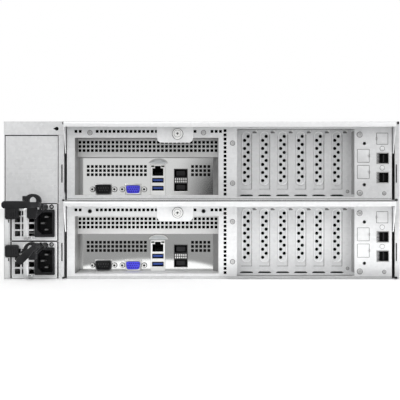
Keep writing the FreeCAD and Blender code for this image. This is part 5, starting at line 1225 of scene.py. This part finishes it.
# Inner pieces of a canister: fans, fins, memory and the parts on the board.
innerForm = {"fanCount": 4, "hub": 17.0, "ductWall": 2.0, "bladeCount": 7, "bladeStart": 8.0, "bladeWidth": 22.0,
             "bladeGap": 1.6, "strut": 5.0, "sinkPitch": 96.0, "sinkWidth": 78.0, "sinkBase": 9.0, "finCount": 27,
             "finThick": 0.8, "screwInset": 5.0}


def bladeShape(angle, depth, tip):
    # A closed wing section carried from the hub out: its angle and depth follow the chord, thicker in the middle.
    form = innerForm
    chord = np.concatenate([np.linspace(-0.5, 0.5, 7), np.linspace(0.5, -0.5, 7)])
    face = np.repeat([1, -1], 7)
    thick = 0.25 + 1.0 * np.sqrt(np.clip(1 - 4 * chord ** 2, 0, 1))
    radius = np.linspace(form["hub"] - 1.0, tip, 6)[:, None]
    share = (radius - form["hub"]) / (tip - form["hub"])
    turn = angle + chord * (0.72 - 0.2 * share) + 0.25 * share ** 2
    y = depth + chord * form["bladeWidth"] + face * thick / 2
    return loft(np.stack([radius * np.cos(turn), np.broadcast_to(y, turn.shape), radius * np.sin(turn)], -1))


def makeFans(side):
    # Casings run from rays cut to a square to a round duct; hubs are turned; blades ring the hub.
    low, high = cornersOf(side + "_fans")
    form = innerForm
    size = high[2] - low[2]
    step = (high[0] - low[0] - size) / (form["fanCount"] - 1)
    angle = np.linspace(0, fullTurn, 48, endpoint=False)
    rays = np.column_stack([np.cos(angle), np.sin(angle)])
    duct = size / 2 - form["ductWall"]
    square = rays * (size / 2 / np.abs(rays).max(1))[:, None]
    flare = rays * (duct + 1.2)
    casing = loft([facing(square, low[1]), facing(flare, low[1]), facing(rays * duct, low[1] + 3.0),
                   facing(rays * duct, high[1] - 3.0), facing(flare, high[1]), facing(square, high[1])], wrap=True)
    nose = low[1] + 6.0
    hub = turned([0.1, 9.0, 14.5, form["hub"], form["hub"], form["hub"] - 0.6, 0.1],
                 [nose, nose, nose + 0.8, nose + 3.0, high[1] - 6.0, high[1] - 5.0, high[1] - 5.0], (0, 0), 36)
    depth = low[1] + form["bladeStart"] + form["bladeWidth"] / 2
    blades = [bladeShape(fullTurn * k / form["bladeCount"], depth, duct - form["bladeGap"])
              for k in range(form["bladeCount"])]
    struts = [pad(*span, 0.8, high[1] - form["strut"], high[1] - 0.2, (0, 0), 0.6)
              for span in ((2 * duct + 2, 4.0), (4.0, 2 * duct + 2))]
    motor = turned([form["hub"] + 1, form["hub"] + 1, form["hub"], 0.1], high[1] - np.array([4.6, 0.8, 0.1, 0.1]),
                   (0, 0), 36)
    out = size / 2 - form["screwInset"]
    screws = copies(screwHead(2.4, 1.0, low[1], (0, 0)), [(x, 0, z) for x in (-out, out) for z in (-out, out)])
    spots = [(low[0] + size / 2 + step * k, 0, (low[2] + high[2]) / 2) for k in range(form["fanCount"])]
    groups = [(copies(shape, spots), "blackPlastic") for shape in [casing, *struts, motor]]
    groups += [(copies(shape, spots), "fanBlade") for shape in blades + [hub]]
    groups.append((copies(screws, spots), "screwZinc"))
    putPiece(side + "_fanRow", side + "_canister", groups, [side + "_fans"])


def makeHeatsinks(side):
    # A base plate, thin upright fins with rounded corners, and a tie bar across their tops.
    low, high = cornersOf(side + "_heatsinks")
    form = innerForm
    length, width = high[1] - low[1], form["sinkWidth"]
    middle = (low[1] + high[1]) / 2
    base = upFace(pad(width, length, 1.0, -form["sinkBase"], 0.0, (low[0] + width / 2, middle), 0.6), low[2])
    tall = high[2] - low[2] - form["sinkBase"] + 1
    outline = roundedOutline(length, tall, 1.6, 4) + (middle, high[2] - tall / 2)
    fin = loft([endways(outline, 0.0), endways(outline, form["finThick"])])
    gap = (width - form["finThick"]) / (form["finCount"] - 1)
    fins = copies(fin, [(low[0] + gap * k, 0, 0) for k in range(form["finCount"])])
    tie = upFace(pad(width, 6.0, 1.0, -1.2, 0.2, (low[0] + width / 2, middle), 0.5), high[2] - 1.2)
    spots = [(0, 0, 0), (form["sinkPitch"], 0, 0)]
    groups = [(copies(shape, spots), "finAluminium") for shape in (base, fins, tie)]
    putPiece(side + "_coolers", side + "_canister", groups, [side + "_heatsinks"])


boardForm = {"chips": ((44, 96, 30, 30), (86, 62, 16, 16), (140, 90, 24, 24), (150, 130, 9, 7), (164, 130, 9, 7),
                       (230, 110, 27, 27), (296, 120, 14, 20), (60, 306, 20, 14), (240, 296, 18, 18),
                       (270, 296, 12, 12)),
             "cans": ((132, 150), (140, 150), (148, 150), (156, 150), (132, 284), (140, 284), (148, 284), (156, 284),
                      (228, 150), (236, 150), (244, 150), (252, 150), (228, 280), (236, 280), (290, 60), (298, 60)),
             "headers": ((20, 200, 8, 40), (20, 252, 8, 40), (318, 190, 9, 52), (318, 254, 9, 52), (205, 40, 9, 60),
                         (226, 40, 9, 60)),
             "memoryLeft": 35.0, "memoryPitch": 9.0, "memoryCount": 8, "memoryStart": 150.0,
             "memory": (4.0, 134.0, 34.0), "clips": 36.0}


def makeBoardParts(side):
    # Flat chips, upright cans and connector shrouds, each a soft-edged outline or profile standing on the board.
    low = cornersOf(side + "_mainboard")[0]
    top = cornersOf(side + "_io_ports")[0][2]
    groups = []
    for across, along, width, length in boardForm["chips"]:
        spot = (low[0] + across, low[1] + along)
        groups.append((upFace(pad(width, length, 0.6, -2.2, 0.0, spot, 0.4), top), "blackPlastic"))
        groups.append((upFace(pad(width * 0.5, length * 0.5, 0.4, -2.9, -2.0, spot, 0.3), top), "darkShell"))
    can = turned([3.2, 3.2, 2.9, 3.2, 3.2, 2.8, 0.1], [0.0, -1.2, -1.6, -2.0, -7.4, -8.0, -8.0], (0, 0), 20)
    spots = [(low[0] + across, 0, low[1] + along) for across, along in boardForm["cans"]]
    groups.append((upFace(copies(can, spots), top), "screwZinc"))
    for across, along, width, length in boardForm["headers"]:
        spot = (low[0] + across, low[1] + along)
        groups.append((upFace(frameRing(width, length, 0.6, 1.4, -9.0, 0.0, spot), top), "greyPlastic"))
        groups.append((upFace(pad(width - 2.4, length - 2.4, 0.3, -2.0, 0.0, spot, 0.2), top), "blackPlastic"))
    # a socket round the foot of each memory module, a latch at either end and two clips over its top
    thick, long, tall = boardForm["memory"]
    middle = (low[0] + boardForm["memoryLeft"] + thick / 2, low[1] + boardForm["memoryStart"] + long / 2)
    spots = [(boardForm["memoryPitch"] * k, 0, 0) for k in range(boardForm["memoryCount"])]
    socket = frameRing(thick + 2.6, long + 7.0, 0.8, 1.1, -6.5, 0.0, middle)
    latch = pad(thick + 1.2, 3.2, 0.8, -tall * 0.55, -5.0, (0, 0), 0.7)
    clip = pad(thick + 0.8, 9.0, 0.6, -tall - 0.5, -tall + 3.0, (0, 0), 0.5)
    groups.append((copies(upFace(socket, top), spots), "blackPlastic"))
    for shape, finish, out in ((latch, "whitePlastic", long / 2 + 1.8), (clip, "finAluminium", boardForm["clips"])):
        for along in (-out, out):
            placed = copies(shape, [(middle[0], 0, middle[1] + along)])
            groups.append((copies(upFace(placed, top), spots), finish))
    putPiece(side + "_boardParts", side + "_canister", groups)


for side in sides:
    makeFans(side)
    makeHeatsinks(side)
    makeBoardParts(side)
print("inner pieces made")


# Front pieces, drawn as if against the rear and turned about.
carrierForm = {"lever": (26.3, 21.25), "leverEnd": 4.0, "leverThick": 3.0, "meshFirst": 8.0, "meshPitch": 30.0,
               "mesh": (26.0, 18.95), "cells": (8, 6), "bar": 0.7, "light": 3.6, "lightRise": 4.5,
               "case": (96.0, 146.0), "caseMiddle": 86.0, "caseScrews": (42.0, 64.0), "leverMiddle": 13.0,
               "button": (7.0, 13.0), "buttonPlace": 7.4}


def meshSheet(width, height, cells, bar, front, back, middle):
    # A grid of bars: cuts alternate between a bar and an open cell, so every odd cell both ways is open.
    cuts = []
    for span, count in zip((width, height), cells):
        cell = (span - bar) / count - bar
        steps = np.concatenate([np.tile([bar, cell], count), [bar]])
        cuts.append(np.concatenate([[0], np.cumsum(steps)]) - span / 2)
    solid = np.ones((2 * cells[0] + 1, 2 * cells[1] + 1), bool)
    solid[1::2, 1::2] = False
    return pierced(cuts[0], cuts[1], solid, front, back, middle)


def makeCarrierFront(node):
    # Bezel border, two mesh inserts, lever pad with ridges and its button, and two light pipes.
    low, high = cornersOf(node)
    form = carrierForm
    plane = high[1] - form["leverThick"]
    size = high - low
    middle = ((low[0] + high[0]) / 2, (low[2] + high[2]) / 2)
    groups = [(frameRing(size[0] - 0.2, size[2] - 0.2, 0.8, 1.3, -0.5, 0.2, middle), "carrierPlastic")]
    for k in range(2):
        spot = (low[0] + form["meshFirst"] + form["mesh"][0] / 2 + form["meshPitch"] * k, middle[1])
        groups.append((meshSheet(*form["mesh"], form["cells"], form["bar"], 1.0, 2.0, spot), "carrierMesh"))
        groups.append((frameRing(form["mesh"][0] + 1.6, form["mesh"][1] + 1.6, 0.8, 0.9, -0.4, 0.2, spot),
                       "carrierPlastic"))
    lever = (high[0] - form["leverEnd"] - form["leverMiddle"], middle[1])
    groups.append((pad(*form["lever"], 0.7, -form["leverThick"] - 0.5, 0.1, lever, 0.9), "carrierPlastic"))
    ridge = pad(0.9, 14.0, 0.4, -form["leverThick"] - 1.1, -form["leverThick"], (0, 0), 0.4)
    groups.append((copies(ridge, [(lever[0] - 9.0 + 2.2 * k, 0, lever[1]) for k in range(5)]), "carrierPlastic"))
    spot = (lever[0] + form["buttonPlace"], lever[1])
    button = pad(*form["button"], 1.6, -form["leverThick"] - 1.3, -form["leverThick"], spot, 0.7)
    groups.append((button, "buttonPlastic"))
    light = turned([1.3, 1.3, 1.0, 0.1], [0.2, -0.4, -0.7, -0.8], (0, 0), 14)
    for up, finish in ((form["lightRise"], "greenLed"), (-form["lightRise"], "dullLens")):
        groups.append((copies(light, [(low[0] + form["light"], 0, middle[1] + up)]), finish))
    turnedGroups = [(toFront(shape, plane), finish) for shape, finish in groups]
    # the drive's case and its screws on the upper side of the carrier
    heart = (middle[0], low[1] + form["caseMiddle"])
    width, length = form["case"]
    turnedGroups.append((upFace(pad(width, length, 2.0, -0.14, 0.3, heart, 0.12), high[2]), "driveCase"))
    turnedGroups.append((upFace(frameRing(width + 2, length + 2, 2.6, 0.7, -0.05, 0.3, heart), high[2]),
                         "grooveShade"))
    flush = turned([2.4, 2.4, 2.1, 0.9, 0.8, 0.1], [0.3, -0.16, -0.22, -0.18, 0.1, 0.15], (0, 0), 16)
    across, along = form["caseScrews"]
    spots = [(heart[0] + x * across, 0, heart[1] + y * along) for x in (-1, 1) for y in (-1, 1)]
    turnedGroups.append((upFace(copies(flush, spots), high[2]), "screwZinc"))
    putPiece(node + "_front", node, turnedGroups)


intakeForm = {"mesh": 300.0, "meshLeft": 58.0, "cells": (92, 9), "bar": 0.9, "dullLights": (40.0, 31.0),
              "greenLight": 22.0}


def makeFrontPanel():
    # Fine mesh behind the intake slits, a ring and a dished cap for the button, and three small status lights.
    low, high = cornersOf("front_panel")
    form = intakeForm
    plane = high[1]
    level = (low[2] + high[2]) / 2
    spot = (low[0] + form["meshLeft"] + form["mesh"] / 2, level)
    sheet = meshSheet(form["mesh"], high[2] - low[2] - 14.0, form["cells"], form["bar"], 3.0, 3.8, spot)
    groups = [(sheet, "carrierMesh")]
    button = cornersOf("power_button")
    spot = ((button[0][0] + button[1][0]) / 2, (button[0][2] + button[1][2]) / 2)
    ring = turned([9.2, 9.2, 8.8, 7.0, 6.6, 6.6], [0.2, -0.6, -1.0, -1.0, -0.6, 0.2], spot, 40, wrap=True)
    groups.append((ring, "darkShell"))
    lens = turned([1.5, 1.5, 1.1, 0.1], [0.2, -0.4, -0.8, -0.9], (0, 0), 14)
    groups.append((copies(lens, [(high[0] - inset, 0, level) for inset in form["dullLights"]]), "dullLens"))
    groups.append((copies(lens, [(high[0] - form["greenLight"], 0, level)]), "greenLed"))
    putPiece("intakeDetails", "chassis", [(toFront(shape, plane), finish) for shape, finish in groups])
    proud = button[1][1] - plane
    stem = plane - button[0][1]
    depths = [stem, stem, 5.2, 5.2, -proud + 0.5, -proud, -proud + 0.3, -proud + 0.6]
    cap = turned([0.1, 8.0, 8.0, 6.0, 6.0, 5.4, 4.2, 0.1], depths, spot, 40)
    putPiece("buttonCap", "power_button", [(toFront(cap, plane), "buttonPlastic")],
             ["power_button"])


for column in "abcd":
    for level in range(1, 5):
        makeCarrierFront("drive_carrier_%s%d" % (column, level))
makeFrontPanel()
print("front pieces made")


# Shell pieces: fasteners on the top and the side walls, and the seam of the cover.
shellForm = {"topScrews": (-350, -210, -70, 70, 150), "sideScrews": (-340, -170, 0, 140),
             "studs": (-290, -40, 200, 320), "seam": 172.0, "screwInset": 9.0, "wallLevels": (8.0, 12.0),
             "thumb": (46.0, 18.0, 1.2), "thumbBack": 26.0,
             "easedNodes": {"rack_ears": 1.0, "front_panel": 0.5, "top_cover": 0.4, "chassis_shell": 0.3,
                            "blank_panel": 0.3}}


def makeShellFittings():
    # Countersunk screws: a cone set in, with a lobed socket; shoulder studs for the rack's slides; a pressed seam.
    shell, cover = cornersOf("chassis_shell"), cornersOf("top_cover")
    wall, top = shell[1][0], cover[1][2]
    form = shellForm
    flush = turned([3.6, 3.6, 3.2, 1.6, 1.5, 0.1], [0.3, -0.12, -0.2, -0.1, 0.5, 0.55], (0, 0), 24,
                   [0, 0, 0, 0.25, 0.25, 0], 6)
    ring = turned([4.3, 4.3, 4.0, 3.5], [0.2, -0.03, -0.05, 0.1], (0, 0), 28, wrap=True)
    edges = [(hand * (wall - form["screwInset"]), 0, y) for hand in (-1, 1) for y in form["topScrews"]]
    # the dark rings round the countersunk screws are painted shade
    groups = [(upFace(copies(flush, edges), top), "screwZinc"), (upFace(copies(ring, edges), top), "grooveShade")]
    width, seam = 2 * wall - 6, form["seam"]
    groups.append((upFace(pad(width, 0.7, 0.3, -0.04, 0.3, (0, seam), 0.02), top), "grooveShade"))
    groups.append((upFace(pad(width, 1.6, 0.7, -0.3, 0.3, (0, seam + 3.0), 0.28), top), "zincSteel"))
    long, short, rim = form["thumb"]
    corner, heart = short / 2 - 0.1, (0, seam - form["thumbBack"])
    thumb = frameRing(long, short, corner, rim, -0.35, 0.2, heart)
    dish = pad(long - 2 * rim, short - 2 * rim, corner - rim, -0.06, 0.2, heart, 0.05)
    # the dish inside the thumb grip takes the dark shade finish: painted shade of the recess
    groups += [(upFace(thumb, top), "zincSteel"), (upFace(dish, top), "grooveShade")]
    stud = turned([4.6, 4.6, 2.9, 2.9, 4.4, 4.4, 4.0, 1.4, 1.3, 0.1],
                  [0.3, -0.6, -0.7, -1.7, -1.8, -2.7, -3.0, -3.0, -2.2, -2.1], (0, 0), 28)
    studs = copies(stud, [(y, 0, top / 2) for y in form["studs"]])
    spots = [(y, 0, up) for up in (top - form["wallLevels"][0], form["wallLevels"][1]) for y in form["sideScrews"]]
    for hand in (-1, 1):
        groups.append((toSide(copies(flush, spots), hand, wall), "screwZinc"))
        groups.append((toSide(copies(ring, spots), hand, wall), "grooveShade"))
        groups.append((toSide(studs, hand, wall), "nickel"))
    putPiece("shellFittings", "chassis", groups)
    # eased edges on the folded and moulded nodes
    for label, width in form["easedNodes"].items():
        easeEdges(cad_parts[label], width)


makeShellFittings()
print("shell pieces made")


# Stage: white floor, soft boxes and the camera square to the rear.
stageForm = {"cameraPlace": (-0.0018, -1.430, 0.0875), "fieldOfView": 23.7, "worldDiffuse": 0.55, "floorReach": 8.0,
             "paperTones": (0.88, 0.92), "paperRough": 0.9, "paperGlow": 0.3, "patchEdge": (0.94, 1.06),
             "darkCard": (0.055, -1.0, 0.0), "cardSpan": (0.045, 0.085), "cardLevel": 0.05,
             "patchMiddle": (-0.07, -0.40, 0.0), "patchSize": (0.094, 0.26, 1.0), "patchGlow": 0.9, "farFloor": 0.45,
             "softBoxes": {"keyBox": ((-0.9, -2.1, 1.7), 1.4, 18.0), "fillBox": ((1.6, -1.6, 1.0), 1.2, 7.0),
                           "backBox": ((0.4, 1.9, 1.8), 1.4, 12.0)},
             "aim": (0, -0.1, 0.09), "tableGlow": 0.38, "tableSize": (0.46, 0.05),
             "tablePlace": (0.07, -0.432, 0.003)}


def makeCamera():
    # Square to the rear, level, at half the height of the case.
    scene = bpy.context.scene
    scene.view_settings.view_transform = "Standard"
    camera = bpy.data.objects.new("camera", bpy.data.cameras.new("camera"))
    camera.data.angle = math.radians(stageForm["fieldOfView"])
    camera.location = stageForm["cameraPlace"]
    camera.rotation_euler = (math.pi / 2, 0, 0)
    scene.collection.objects.link(camera)
    scene.camera = camera


def makeFloor():
    # White paper: one flat square below everything.
    form, reach = stageForm, stageForm["floorReach"]
    corners = [(-reach, -reach, 0), (reach, -reach, 0), (reach, reach, 0), (-reach, reach, 0)]
    mesh = bpy.data.meshes.new("floor")
    mesh.from_pydata(corners, [], [(0, 1, 2, 3)])
    floor = bpy.data.objects.new("floor", mesh)
    bpy.context.scene.collection.objects.link(floor)
    paper = bpy.data.materials.new("floorPaper")
    paper.use_nodes = True
    tree = paper.node_tree
    shader = tree.nodes["Principled BSDF"]
    path = addNode(tree, "ShaderNodeLightPath").outputs
    place = addNode(tree, "ShaderNodeTexCoord").outputs["Object"]
    white = mixed(tree, noiseOf(tree, place, 40.0), *[(level, level, level, 1) for level in form["paperTones"]])
    # in reflections the lit patch before the rear stays white and the floor beyond it is greyer
    away = addNode(tree, "ShaderNodeVectorMath", {0: place, 1: form["patchMiddle"]}, operation="SUBTRACT").outputs[0]
    away = addNode(tree, "ShaderNodeVectorMath", {0: away, 1: form["patchSize"]}, operation="DIVIDE").outputs[0]
    away = addNode(tree, "ShaderNodeVectorMath", {0: away}, operation="LENGTH").outputs["Value"]
    beyond = mathOf(tree, "MULTIPLY", rangeOf(tree, away, *form["patchEdge"]), path["Is Glossy Ray"])
    grey = (form["farFloor"],) * 3 + (1,)
    tree.links.new(mixed(tree, beyond, white, grey), shader.inputs["Base Color"])
    shader.inputs["Roughness"].default_value = form["paperRough"]
    glow = weighted(tree, [(path["Is Camera Ray"], form["paperGlow"]), (path["Is Glossy Ray"], form["patchGlow"]),
                           (beyond, -form["patchGlow"])])
    shader.inputs["Emission Color"].default_value = (1, 1, 1, 1)
    tree.links.new(glow, shader.inputs["Emission Strength"])
    mesh.materials.append(paper)


def makeWorld():
    # White all round, weaker as light on the part than as what the camera sees.
    form = stageForm
    world = bpy.data.worlds.new("studio")
    bpy.context.scene.world = world
    world.use_nodes = True
    tree = world.node_tree
    path = addNode(tree, "ShaderNodeLightPath").outputs
    clear = mathOf(tree, "MAXIMUM", path["Is Camera Ray"], path["Is Transmission Ray"])
    strength = rangeOf(tree, clear, 0.0, 1.0, form["worldDiffuse"], 1.0)
    # a dark card, low and to the right behind the camera, shows in bright metal
    heading = addNode(tree, "ShaderNodeTexCoord").outputs["Generated"]
    away = addNode(tree, "ShaderNodeVectorMath", {0: heading, 1: form["darkCard"]},
                   operation="DISTANCE").outputs["Value"]
    card = rangeOf(tree, away, *form["cardSpan"], form["cardLevel"], 1.0)
    strength = addNode(tree, "ShaderNodeMix", {0: path["Is Glossy Ray"], 2: strength, 3: card}).outputs[0]
    ground = tree.nodes["Background"]
    ground.inputs["Color"].default_value = (1, 1, 1, 1)
    tree.links.new(strength, ground.inputs["Strength"])


def makeLamps():
    # Soft boxes turned to one point, and the bounce from the bright table just before the rear.
    scene, form = bpy.context.scene, stageForm
    for label, (spot, size, power) in form["softBoxes"].items():
        lamp = bpy.data.objects.new(label, bpy.data.lights.new(label, "AREA"))
        lamp.data.size = size
        lamp.data.energy = power
        lamp.location = spot
        aim = np.subtract(form["aim"], spot)
        yaw, tilt = math.atan2(aim[1], aim[0]), math.atan2(math.hypot(aim[0], aim[1]), -aim[2])
        lamp.rotation_euler = (tilt, 0, yaw - math.pi / 2)
        scene.collection.objects.link(lamp)
    glow = bpy.data.objects.new("tableGlow", bpy.data.lights.new("tableGlow", "AREA"))
    glow.data.shape = "RECTANGLE"
    glow.data.size, glow.data.size_y = form["tableSize"]
    glow.data.energy = form["tableGlow"]
    glow.location, glow.rotation_euler = form["tablePlace"], (math.pi, 0, 0)
    glow.visible_camera = glow.visible_glossy = False
    scene.collection.objects.link(glow)


makeCamera()
makeFloor()
makeWorld()
makeLamps()
print("stage set")
